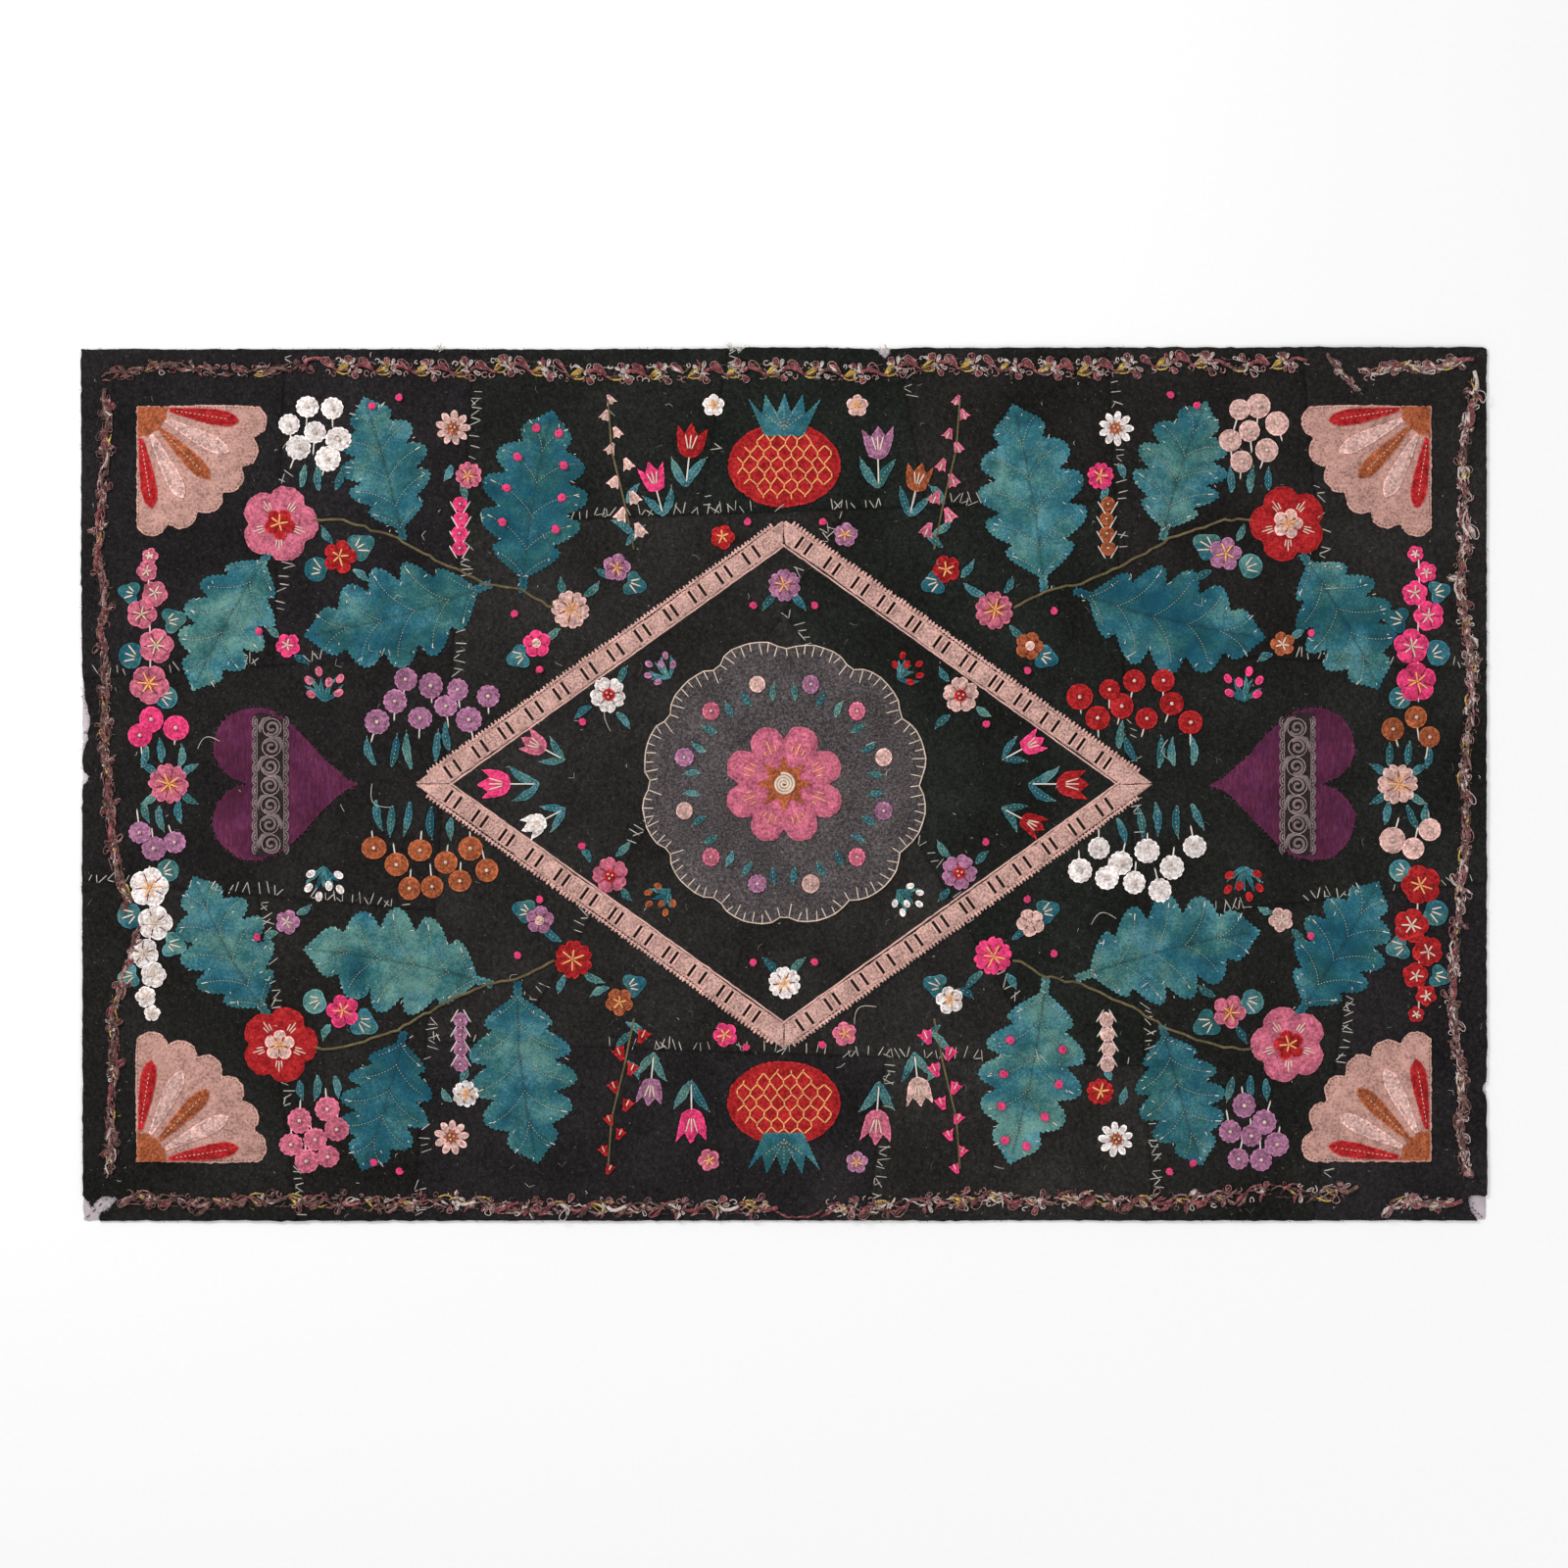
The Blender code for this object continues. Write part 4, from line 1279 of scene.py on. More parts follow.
def blanket_stitch(outline, spacing, threads, rng):
    """A thread round the edge, with long and short legs running in from it."""
    points, along, _ = walk(outline, spacing, closed=True, multiple=2)
    inward = -outward(along)
    edge = points + inward * 0.0004
    threads.follow(np.vstack([edge, edge[:2]]), 0.00052, 0, 0.3)
    for index, (place, turn, way) in enumerate(zip(edge, inward, along)):
        length = BLANKET_LEGS[index % 2] * rng.uniform(0.85, 1.15)
        end = place + (turn + way * rng.normal(0, 0.10)) * length
        threads.stitch(place, end, 0.00046)


def knot(threads, place, size, rng):
    """A small lump of thread, wound round on itself."""
    coil = polar(np.linspace(0, TAU * 1.4, 7) + rng.uniform(0, TAU), size * 0.45) + place
    threads.run(coil, height(*place) + np.linspace(0.3, 1.1, 7) * size, size * 0.48)


def make_medallion():
    """Makes the scalloped medallion, its rosette and the pennies round it."""
    rng = seeded("medallion")

    def relief(at, edge):
        rise = 0.0005 * swell(at, 0.05, 31) * (1 - dip(edge, 0.004))
        return rise, 1.0 + 0.10 * swell(at, 0.04, 32)

    outline = flat_felt("medallion", "charcoal_felt", 0.0042, rng, relief=relief)
    flat_felt("rosette", "rose_felt", 0.0026, rng, relief=lobe_relief((0, 0), 8, 0.052, 33))
    flat_felt("rosette_star", "orange_felt", 0.0022, rng)
    stitches = Threads("medallion_stitches", ["cream_thread", "yellow_thread"], "white_thread")
    blanket_stitch(outline, sizes().blanket_stitch, stitches, rng)
    for spoke in range(8):
        angle = (spoke + 0.5) / 8 * TAU
        way = polar(angle)
        stitches.stitch(way * 0.026, way * rng.uniform(0.036, 0.041), 0.0005, 1)
        for side in (-0.16, 0.16):
            lean = polar(angle + side)
            stitches.stitch(lean * 0.028, lean * rng.uniform(0.032, 0.036), 0.0005, 1)
    angles = np.linspace(0, TAU * 3.3, 60)
    coil = polar(angles, 0.0008 + angles / angles[-1] * 0.0085)
    stitches.follow(coil, 0.0012, 0, 0.8)
    stitches.finish()
    for index in range(12):
        angle = (index + 0.5) / 12 * 360
        spot = polar(math.radians(angle), 88)
        penny(spot, 7.6, ("cream", "rose", "lilac")[index % 3], rng)
        for side in (-1, 1):
            base = polar(math.radians(angle + side * 7.5), 72)
            blade(base, angle - 90 + side * 20, 15, 5.5, rng)


# ---- lace diamond


# Half the length of a slot along the lace, and its reach to each side as a share of the half width.
SLOT_HALF = 0.0012
SLOT_REACH = 0.58
# The distance to the next pair of slots, and between the two of a pair.
SLOT_GAPS = (0.0190, 0.0095)


def make_lace(name, loops):
    """A strip of beading lace, with pairs of slots, corded edges and picots."""
    rng = seeded(name)
    loop = cad_outline(name)
    middle, left, right = spine(loop)
    along = middle[-1] - middle[0]
    length = float(np.linalg.norm(along))
    along = along / length
    outer = np.array([-along[1], along[0]])
    if outer @ middle.mean(0) < 0:
        outer = -outer
    half = float(np.mean(np.linalg.norm(left - right, axis=1))) / 2
    origin = middle[0]
    slots = []
    run = 0.017
    while run < length - 0.020:
        slots.append(run + rng.normal(0, 0.0008))
        run += SLOT_GAPS[len(slots) % 2]

    outline = wound(hand_cut(loop, rng, 0.004, 0.0002))
    mesh = flat_sheet(outline)
    for side in (-0.80, -SLOT_REACH, 0.0, SLOT_REACH, 0.80):
        slice_sheet(mesh, origin + outer * half * side, outer)
    for run in slots:
        for edge in (-SLOT_HALF, SLOT_HALF):
            slice_sheet(mesh, origin + along * (run + edge), along)
    for run in np.arange(0.004, length, 0.005):
        slice_sheet(mesh, origin + along * run, along)
    holes = []
    for face in mesh.faces:
        offset = np.array(face.calc_center_median()[:2]) - origin
        near = min(abs(offset @ along - run) for run in slots)
        if near < SLOT_HALF and abs(offset @ outer) < half * SLOT_REACH:
            holes.append(face)
    bmesh.ops.delete(mesh, geom=holes, context="FACES")

    def relief(at, edge):
        rise = 0.0003 * dip(edge - 0.0016, 0.0012) + 0.00018 * swell(at, 0.006, 41)
        return rise, 1.0 + 0.10 * swell(at, 0.009, 42)

    # The lace's cut edge gets a painted highlight.
    shape_sheet(mesh, outline, 0.0010, relief, 1.0, None, 1.15)
    bmesh.ops.solidify(mesh, geom=mesh.faces[:], thickness=0.0007)
    bmesh.ops.recalc_face_normals(mesh, faces=mesh.faces)
    put_down(name, mesh, "pink_lace", loop)

    for side in (-1, 1):
        run = np.arange(0.003, length - 0.002, 0.005)
        line = origin + along * run[:, None] + outer * half * 0.93 * side
        loops.follow(line + rng.normal(0, 0.00015, line.shape), 0.0008, 0, 0.15)
    for run in slots:
        for edge in (-0.0021, 0.0021):
            reach = outer * half * 0.62
            bar = origin + along * (run + edge)
            loops.stitch(bar - reach, bar + reach, rng.uniform(0.0007, 0.0009))
    for run in np.arange(0.003, length - 0.003, 0.0034):
        foot = origin + along * (run + rng.normal(0, 0.0003)) + outer * half * 0.80
        tip = foot + outer * half * 0.36 * rng.uniform(0.8, 1.15)
        loops.stitch(foot, tip, rng.uniform(0.0008, 0.0011), rest=height(*foot))


def make_lace_diamond():
    loops = Threads("lace_loops", ["pink_cord"], "pink_lace")
    for quarter in QUARTERS:
        make_lace(f"lace_{quarter}", loops)
    loops.finish()


# ---- hearts


def make_heart(side, fray, scroll):
    """Cuts one frayed twill heart and lays its band of scrolls."""
    rng = seeded(f"heart_{side}")
    seed = int(rng.integers(1000))

    def relief(at, edge):
        rise = 0.0006 * swell(at, 0.03, seed) * (1 - dip(edge, 0.006))
        return rise - 0.0003 * dip(edge - 0.003, 0.0015), 1.0 + 0.16 * swell(at, 0.04, seed + 1)

    outline = flat_felt(f"heart_{side}", "purple_twill", 0.003, rng, 0.0004, relief)
    for place, way, out in round_edge(outline, 0.0016):
        if rng.random() < 0.45:
            end = place + (out + way * rng.normal(0, 0.7)) * rng.uniform(0.0008, 0.0030)
            fray.stitch(place - out * 0.0006, end, rng.uniform(0.00012, 0.00022), 0)

    loop = cad_outline(f"heart_band_{side}")
    # The band's cut edge gets painted shade.
    mesh = cut_cloth(hand_cut(loop, rng, 0.004), 0.003, 0.0006, shade=0.16, rim_painted_light=0.8)
    put_down(f"heart_band_{side}", mesh, "grey_lace", loop)
    low, high = loop.min(0), loop.max(0)
    half = (high[0] - low[0]) / 2
    middle = (high[0] + low[0]) / 2
    outer = 1 if side == "east" else -1
    for index, y in enumerate(np.arange(low[1] + 0.010, high[1] - 0.006, 0.0165)):
        flip = 1 if index % 2 else -1
        centre = np.array([middle + rng.normal(0, 0.0006), y])
        turns = np.linspace(0.5, TAU * 1.4, 20)
        coil = polar(turns * flip + rng.normal(0, 0.3), 0.0013 + 0.0052 * turns / turns[-1])
        scroll.follow(coil + centre, 0.0013, 0, 0.4)
        scroll.follow(polar(np.linspace(0, TAU, 15), 0.0079) + centre, 0.00048, 1, 1.0)
        horn = np.array([(0.0102, -0.0040), (0.0100, 0.0010), (0.0070, 0.0070), (0.0010, 0.0092)])
        scroll.follow(horn * (flip, 1) + centre, np.array([0.0009, 0.0019, 0.0019, 0.0009]), 0, 0.3)
    for y in np.arange(low[1] + 0.006, high[1] - 0.004, 0.0098):
        for way, radius in ((outer, 0.0009), (-outer, 0.0007)):
            scallop = polar(np.radians(np.linspace(-90, 90, 7)), 0.0046) * (0.6 * way, 1)
            scroll.follow(scallop + (middle + way * (half - 0.0012), y), radius, 0, 0.5)
            scroll.follow(scallop * 0.5 + (middle + way * (half - 0.0016), y), radius * 0.6, 1, 0.8)
    for way in (-1, 1):
        run = np.arange(low[1] + 0.003, high[1], 0.006)
        line = np.stack([np.full(len(run), middle + way * (half - 0.0022)), run], axis=1)
        scroll.follow(line + rng.normal(0, 0.0002, line.shape), 0.0006, 0, 0.5)


def make_hearts():
    fray = Threads("heart_fray", ["plum_thread"], "purple_twill")
    scroll = Threads("heart_band_scrolls", ["grey_cord", "pale_grey_cord"], "grey_lace")
    for side in ("east", "west"):
        make_heart(side, fray, scroll)
    fray.finish()
    scroll.finish()


# ---- pomegranates


# Half the thickness of the thread of the open six-sided stitches.
COMB_THREAD = 0.00062


def honeycomb(outline, centre, cell, threads, rng):
    """Rows of open six-sided stitches, kept inside an edge."""
    low, high = outline.min(0), outline.max(0)
    rise = cell * 0.80
    first = np.floor((low - centre) / (cell, rise)).astype(int)
    last = np.ceil((high - centre) / (cell, rise)).astype(int)
    nodes = {}

    def corner(row, column, part):
        """A corner between cells, moved a little by hand: part 0 is the low one and 1 the high one."""
        key = (row, column, part)
        if key not in nodes:
            shift = 0.5 * (row % 2)
            place = np.array([(column + shift) * cell, row * rise + (0.18 if part else -0.18) * rise])
            nodes[key] = place + centre + rng.normal(0, 0.0006, 2)
        return nodes[key]

    def allowed(*places):
        gap = nearness(np.array(places), outline)
        return all(inside(outline, *place) for place in places) and gap.min() > 0.0045

    for row in range(first[1], last[1] + 1):
        for column in range(first[0] - 1, last[0] + 2):
            low_end, high_end = corner(row, column, 0), corner(row, column, 1)
            if allowed(low_end, high_end):
                threads.stitch(low_end, high_end, COMB_THREAD)
            shift = row % 2
            for step in (0, 1):
                above = corner(row + 1, column + shift - step, 0)
                if allowed(high_end, above):
                    threads.stitch(high_end, above, COMB_THREAD)


def make_pomegranates():
    stitches = Threads("honeycomb_stitches", ["yellow_thread"], "yellow_thread")
    for place in ("north", "south"):
        rng = seeded(place)
        seed = int(rng.integers(1000))

        def relief(at, edge):
            rise = 0.0007 * (1 - dip(edge, 0.007)) + 0.0003 * swell(at, 0.012, seed)
            rise = rise - 0.0007 * dip(edge - 0.0032, 0.0010)
            # Painted shade in the groove about 3 mm inside the edge, with random tone.
            return rise, 1.0 - 0.22 * dip(edge - 0.0032, 0.0010) + 0.07 * swell(at, 0.012, seed + 1)

        outline = flat_felt(f"pomegranate_{place}", "red_felt", 0.0018, rng, relief=relief)
        honeycomb(outline, outline.mean(0), sizes().honeycomb, stitches, rng)
        loop = cad_outline(f"crown_{place}")
        cut = pinked(soften(loop, 0.001, 0.5), rng, 0.0036, 0.0006)
        mesh = cut_cloth(cut, 0.0022, sizes().wool, shade=1.05)
        put_down(f"crown_{place}", mesh, "teal_mid", loop)
        way = 1 if place == "north" else -1
        base = np.array([0, loop[:, 1].min() + 0.006 if way > 0 else loop[:, 1].max() - 0.006])
        for lean in (-52, -27, 0, 27, 52):
            tip = base + placed([(0, 0.019)], (0, 0), lean * way)[0] * way
            stitches.dashes([base, tip], 0.00035, 0.0016, 0.001, rng)
    stitches.finish()


# ---- fans


# Turns of a fan's blades in degrees and their colours, then its measures in millimetres.
FAN_BLADES = ((9, "red"), (27, "cream"), (45, "rust"), (63, "cream"), (81, "red"))
BLADE_START = 29
BLADE_REACH = 61
BLADE_WIDTH = 13.5
HUB_RADIUS = 25
HUB_OVERLAP = 2.0
# The blade's outline: shares of its length and of half its width.
BLADE_SHAPE = ((0, 0.25), (0.35, 0.72), (0.72, 1.0), (0.9, 0.72), (1.0, 0.0))


def make_fans():
    seams = Threads("fan_topstitching", ["dark_thread", "cream_thread"], "dark_thread")
    for quarter, signs in QUARTERS.items():
        name = f"fan_{quarter}"
        rng = seeded(name)
        outline = flat_felt(name, "taupe_felt", 0.0036, rng)
        inward = outline.mean(0) - outline
        inset = outline + inward / np.linalg.norm(inward, axis=1, keepdims=True) * 0.0022
        seams.dashes(np.vstack([inset, inset[:1]]), MACHINE_THREAD, 0.0020, 0.0012, rng)
        corner = np.array([max(side, key=abs) for side in outline.T]) / MM * signs
        for turn, colour in FAN_BLADES:
            way = polar(math.radians(turn))
            hub = corner - way * BLADE_START
            fan_blade(hub, hub - way * BLADE_REACH, colour, signs, rng, seams)
        rim = polar(np.radians(np.linspace(180, 270, 12)), HUB_RADIUS)
        rim = rim * (1 + 0.04 * np.cos(np.arange(12) * 2.2))[:, None]
        disc = np.vstack([[(0, 0)], rim]) - HUB_OVERLAP + corner
        heap_up("rust", cut_cloth(disc * MM * signs, 0.003, sizes().felt))
    seams.finish()


def fan_blade(hub, tip, colour, signs, rng, seams):
    """A pointed felt blade from the fan's hub towards its rim, stitched down its middle."""
    along = tip - hub
    across = np.array([-along[1], along[0]]) / np.linalg.norm(along) * BLADE_WIDTH / 2
    left = [hub + along * share + across * wide for share, wide in BLADE_SHAPE]
    right = [hub + along * share - across * wide for share, wide in BLADE_SHAPE[-2::-1]]
    loop = np.array(left + right) * MM * signs
    outline = hand_cut(soften(wound(loop), FELT_STEP), rng, SNIP, 0.0002)
    cut_felt(colour, outline, cupped(0.0004), rng, spread=0.07)
    line = np.array([hub + along * 0.12, hub + along * 0.80]) * MM * signs
    seams.dashes(line, 0.00034, 0.0022, 0.0013, rng, 1)


# ---- flowers

CLOTH_SLOTS = {
    "red": "red_felt", "rose": "rose_felt", "rust": "orange_felt", "magenta": "magenta_felt",
    "lilac": "lilac_felt", "white": "white_felt", "cream": "cream_felt", "taupe": "taupe_felt",
    "leaf_light": "teal_soft", "leaf_dark": "teal_mid",
}
SEWING = {}
SEWING_SLOTS = {
    "olive_cord": "olive_cord", "yellow_thread": "yellow_thread", "rosebud": "magenta_felt",
    "crease_thread": "dark_thread",
}
ROUND_CORDS = ("olive_cord", "rosebud")


def sewing(name):
    """The shared threads that small flowers are sewn with."""
    if name not in SEWING:
        slot = SEWING_SLOTS.get(name, "white_thread")
        SEWING[name] = Threads(f"sewing_{name}", [name], slot, 6 if name in ROUND_CORDS else 4)
    return SEWING[name]


def sew(name, ends, spot, turn, signs, radius):
    """One straight stitch of a shared thread, drawn in millimetres around a spot."""
    start, end = drawn(ends, spot, turn, signs)
    sewing(name).stitch(start, end, radius)


def centre_of(spot, signs):
    """A spot in a quarter of the rug, in metres."""
    return np.array(spot) * signs * MM


def cut_felt(colour, outline, relief, rng, spacing=0.0029, spread=0.14):
    """Cuts a small felt piece, with a painted highlight along its cut edge, for the heap of its colour.
    """
    shade = rng.uniform(1 - spread, 1 + spread)
    piece = cut_cloth(outline, spacing, sizes().felt, relief, shade, rim=FELT_RIM, rim_painted_light=1.7)
    heap_up(colour, piece)


def groove_painted_shade(edge):
    """Painted shade in the groove where a felt piece's sewing pulls it down, just inside its cut edge."""
    return 1.0 - 0.26 * dip(edge - FELT_RIM, 0.0012)


def cupped(rise):
    """Relief of a small felt piece: full in the middle and thin at its edge, with painted shade in the
    groove inside its edge.
    """

    def relief(at, edge):
        return rise * (1 - dip(edge, 0.003)), groove_painted_shade(edge)

    return relief


def lobe_relief(centre, lobes, radius, seed, turn=0.0):
    """Relief of a flower: full petals, creases between them and a hollow middle, with painted shade in
    the creases, the middle and the groove inside its edge.
    """

    def relief(at, edge):
        dx, dy = (at - centre).T
        out = np.hypot(dx, dy) / radius
        crease = np.abs(np.sin((np.arctan2(dy, dx) - turn) * lobes / 2))
        rise = 0.0011 * (1 - dip(edge, 0.0035)) * (1 - dip(out, 0.30)) * (0.52 + 0.48 * crease)
        rise = rise + 0.00025 * swell(at, 0.010, seed)
        # Painted shade in the edge groove, the hollow middle and the creases between petals, with random
        # tone.
        dark = groove_painted_shade(edge) - 0.30 * dip(out, 0.24) - 0.15 * (1 - crease) * dip(out - 0.47, 0.30)
        return rise, dark + 0.05 * swell(at, 0.009, seed + 1)

    return relief


def penny(spot, radius, colour, rng, signs=(1, 1), teeth=12):
    """A small disc of felt held by one knot in its hollow middle."""
    radius *= rng.uniform(0.94, 1.06) * MM
    tooth = 0.045 if colour in ("lilac", "white", "rose") else 0.012
    ruffle = tooth * np.tile([-1.2, 0.6, 0.6], teeth) + rng.normal(0, 0.010, teeth * 3)
    centre = centre_of(spot, signs)
    angle = turns(teeth * 3) + rng.uniform(0, 1)
    outline = polar(angle, radius * (1 + ruffle)) * rng.uniform(0.94, 1.05, 2) + centre

    def relief(at, edge):
        out = np.hypot(*(at - centre).T) / radius
        rise = 0.0010 * dip(out - 0.58, 0.33) - 0.0003 * dip(out, 0.2)
        # Painted shade in the groove inside the edge and in the hollow middle round the knot.
        return rise, groove_painted_shade(edge) - 0.36 * dip(out, 0.34)

    cut_felt(colour, outline, relief, rng)
    knot(sewing("cream_thread"), centre, 0.20 * radius, rng)


def bloom(
    spot, radius, petals, colour, rng, signs=(1, 1), notch=0.0, depth=0.22, middle="yellow_thread"
):
    """A felt flower of round or notched petals, its middle a star of stitches or a knotted disc."""
    steps = 8
    phase = np.arange(petals * steps) / steps
    swing = np.abs(np.sin(math.pi * phase)) ** 0.7
    reach = radius * MM * (1 - depth * (1 - swing))
    reach = reach * (1 - notch * dip(phase % 1 - 0.5, 0.10))
    reach = reach * (1 + 0.05 * np.sin(phase / petals * TAU + rng.uniform(0, TAU)))
    reach = reach + rng.normal(0, 0.00018, len(reach))
    centre = centre_of(spot, signs)
    turn = rng.uniform(0, TAU)
    outline = polar(phase / petals * TAU + turn, reach) + centre
    relief = lobe_relief(centre, petals, radius * MM, int(rng.integers(1000)), turn)
    cut_felt(colour, outline, relief, rng)
    if radius > 11:
        for index in range(petals):
            way = polar(index / petals * TAU + turn)
            start, end = (centre + way * radius * MM * share for share in (0.30, 0.90 - depth))
            sewing("crease_thread").stitch(start, end, 0.00042)
    if middle in CLOTH_SLOTS:
        cut_felt(middle, polar(turns(12), radius * MM * 0.33) + centre, cupped(0.0006), rng)
        for way in polar(np.array([0.3, 2.4, 4.5]), radius * MM * 0.14):
            knot(sewing("cream_thread"), centre + way, 0.0012, rng)
        return
    if colour == "rose" and radius > 12:
        eye = polar(turns(10), radius * MM * rng.uniform(0.24, 0.30, 10)) + centre
        cut_felt("rust", eye, cupped(0.0004), rng)
    threads = sewing(middle)
    start = rng.uniform(0, TAU)
    rays = 5 if radius < 15 else 6
    for index in range(rays):
        way = polar(start + index / rays * TAU + rng.normal(0, 0.12))
        reach = way * radius * MM * rng.uniform(0.45, 0.66)
        threads.stitch(centre + way * 0.0006, centre + reach, 0.00074)
    knot(threads, centre, 0.0013, rng)


def blade(spot, turn, length, width, rng, signs=(1, 1), vein=True):
    """A narrow leaf of dyed wool, creased and stitched down its middle."""
    bend = rng.uniform(-0.10, 0.10) * length
    shares = np.array([0.0, 0.25, 0.50, 0.78, 1.0])
    half = np.array([0.30, 0.85, 1.0, 0.62, 0.0]) * width / 2
    line = np.stack([bend * np.sin(math.pi * shares), shares * length], axis=1)
    side = np.stack([half, 0 * half], axis=1)
    shape = drawn(np.vstack([line + side, (line - side)[-2::-1]]), spot, turn, signs)
    outline = hand_cut(soften(wound(shape), FELT_STEP), rng, 0.0021)
    rib = drawn(line * (1, 0.94) + (0, 0.03 * length), spot, turn, signs)

    def relief(at, edge):
        gap = nearest(at, [rib])
        rise = 0.0008 * (1 - dip(edge, 0.002)) - 0.0007 * dip(gap, 0.0011)
        # Painted shade in the groove inside the edge and along the crease down the middle.
        return rise, groove_painted_shade(edge) - 0.30 * dip(gap, 0.0010)

    colour = "leaf_light" if rng.random() < 0.45 else "leaf_dark"
    cut_felt(colour, outline, relief, rng, 0.0027, 0.15)
    if vein:
        sewing("gold_thread").dashes(rib, MACHINE_THREAD, 0.0017, 0.0014, rng)


def round_leaf(spot, turn, radius, rng, signs, lobes):
    """A round or three-lobed leaf with straight stitches spread from its stalk."""
    angle = turns(30)
    reach = 1 - 0.20 * dip(np.minimum(angle, TAU - angle), 0.5) - lobes * (1 + np.cos(angle * 3)) / 2
    reach = radius * (reach + 0.5 * lobes + rng.normal(0, 0.015, 30))
    outline = drawn(polar(angle + math.pi, reach), spot, turn, signs)
    colour = "leaf_light" if rng.random() < 0.5 else "leaf_dark"
    cut_felt(colour, outline, cupped(0.0006), rng, spread=0.15)
    for lean in (-32, 0, 32):
        ends = polar(np.radians([lean, lean]), radius * np.array([0.30, rng.uniform(0.95, 1.4)]))
        sew("cream_thread", ends - (radius * 0.62, 0), spot, turn, signs, 0.00066)


TULIP_CUP = (
    (0.0, -0.46), (0.27, -0.36), (0.38, -0.05), (0.44, 0.45), (0.22, 0.20),
    (0.02, 0.52), (-0.20, 0.18), (-0.43, 0.43), (-0.38, -0.06), (-0.26, -0.37),
)
BELL = (
    (-0.14, 0.5), (-0.30, 0.05), (-0.50, -0.42), (-0.22, -0.34), (0.0, -0.52),
    (0.24, -0.33), (0.50, -0.40), (0.30, 0.06), (0.14, 0.5),
)


def tulip(spot, turn, size, colour, rng, signs):
    """A three-pointed felt cup with a few stitches, over a pair of blades."""
    foot = beside(spot, (0, -size * 1.28), turn)
    for lean, length in ((-32, 0.95), (30, 1.05)):
        blade(foot, turn + lean, size * length, size * 0.26, rng, signs)
    sew("white_thread", [(0, -size * 1.2), (0, -size * 0.3)], spot, turn, signs, 0.00065)
    cup = np.array(TULIP_CUP) * rng.uniform(0.92, 1.08, (len(TULIP_CUP), 2)) * size
    outline = hand_cut(soften(wound(drawn(cup, spot, turn, signs)), 0.0014), rng, 0.0020, 0.0002)
    ribs = []
    for side in (-1, 0, 1):
        rib = [(side * size * 0.05, -size * 0.22), (side * size * 0.17, size * 0.20)]
        ribs.append(drawn(rib, spot, turn, signs))

    def relief(at, edge):
        gap = nearest(at, ribs[::2])
        rise = 0.0010 * (1 - dip(edge, 0.003)) - 0.0005 * dip(gap, 0.0015)
        # Painted shade in the groove inside the edge and along the two outer creases.
        return rise, groove_painted_shade(edge) - 0.20 * dip(gap, 0.0016)

    cut_felt(colour, outline, relief, rng, 0.0027)
    for start, end in ribs:
        sewing("cream_thread").stitch(start, end, 0.00062)


def bell(spot, turn, size, colour, rng, signs):
    """A small felt bell with a flared, scalloped mouth."""
    shape = np.array(BELL) * size * rng.uniform(0.9, 1.1, (len(BELL), 2))
    outline = soften(wound(drawn(shape, spot, turn, signs)), 0.0018)
    cut_felt(colour, outline, cupped(0.0006), rng)
    sew("cream_thread", [(0, 0.10 * size), (0, -0.42 * size)], spot, turn, signs, 0.00052)


def rosebud(spot, rng, signs=(1, 1), size=1.0):
    """A tight coil of rolled felt."""
    centre = centre_of(spot, signs)
    angle = np.linspace(0, TAU * 1.6, 12) + rng.uniform(0, TAU)
    coil = polar(angle, np.linspace(0.0008, 0.0027, 12) * size) + centre
    rise = height(*centre) + 0.0011 + 0.0003 * (1 - np.linspace(0, 1, 12) ** 2)
    sewing("rosebud").run(coil, rise, 0.00135 * size)


def tuft(spot, turn, size, colour, rng, signs):
    """Narrow blades rising from one place, with small oval buds among them."""
    for lean in (-48, -25, 0, 23, 46):
        tilt = turn + lean + rng.normal(0, 3)
        blade(spot, tilt, size * rng.uniform(0.75, 1.05), 3.8, rng, signs, vein=False)
    for lean, reach in ((-60, 0.55), (-36, 0.95), (-10, 1.10), (13, 0.72), (34, 1.0), (58, 0.60)):
        tip = beside(spot, (0, size * reach), turn + lean)
        bud = polar(turns(10)) * (size * 0.13, size * 0.18)
        cut_felt(colour, drawn(bud, tip, turn + lean, signs), cupped(0.0006), rng)


def stack(x, y, count, colour, rng, signs):
    """A column of small knotted discs, each over a pair of slanting stitches."""
    for index in range(count):
        spot = (x + rng.normal(0, 0.7), y + 12.6 * index)
        for side in (-1, 1):
            sew("white_thread", [(side * 2.0, -9.0), (side * 8.8, 2.5)], spot, 0, signs, 0.00055)
        penny(spot, 6.3, colour, rng, signs, 8)


def make_blossoms():
    """The four large blossoms of the sprays."""
    for quarter in QUARTERS:
        name = f"blossom_{quarter}"
        crimson = quarter in ("ne", "sw")
        rng = seeded(name)
        centre = cad_outline(name).mean(0)
        relief = lobe_relief(centre, 5, 0.033, len(name))
        flat_felt(name, "red_felt" if crimson else "rose_felt", 0.0026, rng, relief=relief)
        bloom(centre / MM, 13, 5, "cream" if crimson else "red", rng, depth=0.30)
        for index in range(5):
            angle = (index + 0.5) / 5 * TAU + 0.3
            for side in (-0.14, 0.0, 0.14):
                way = polar(angle + side)
                reach = 0.024 if side == 0 else 0.020
                sewing("cream_thread").stitch(centre + way * 0.0135, centre + way * reach, 0.00052)


# ---- the sprays' small flowers

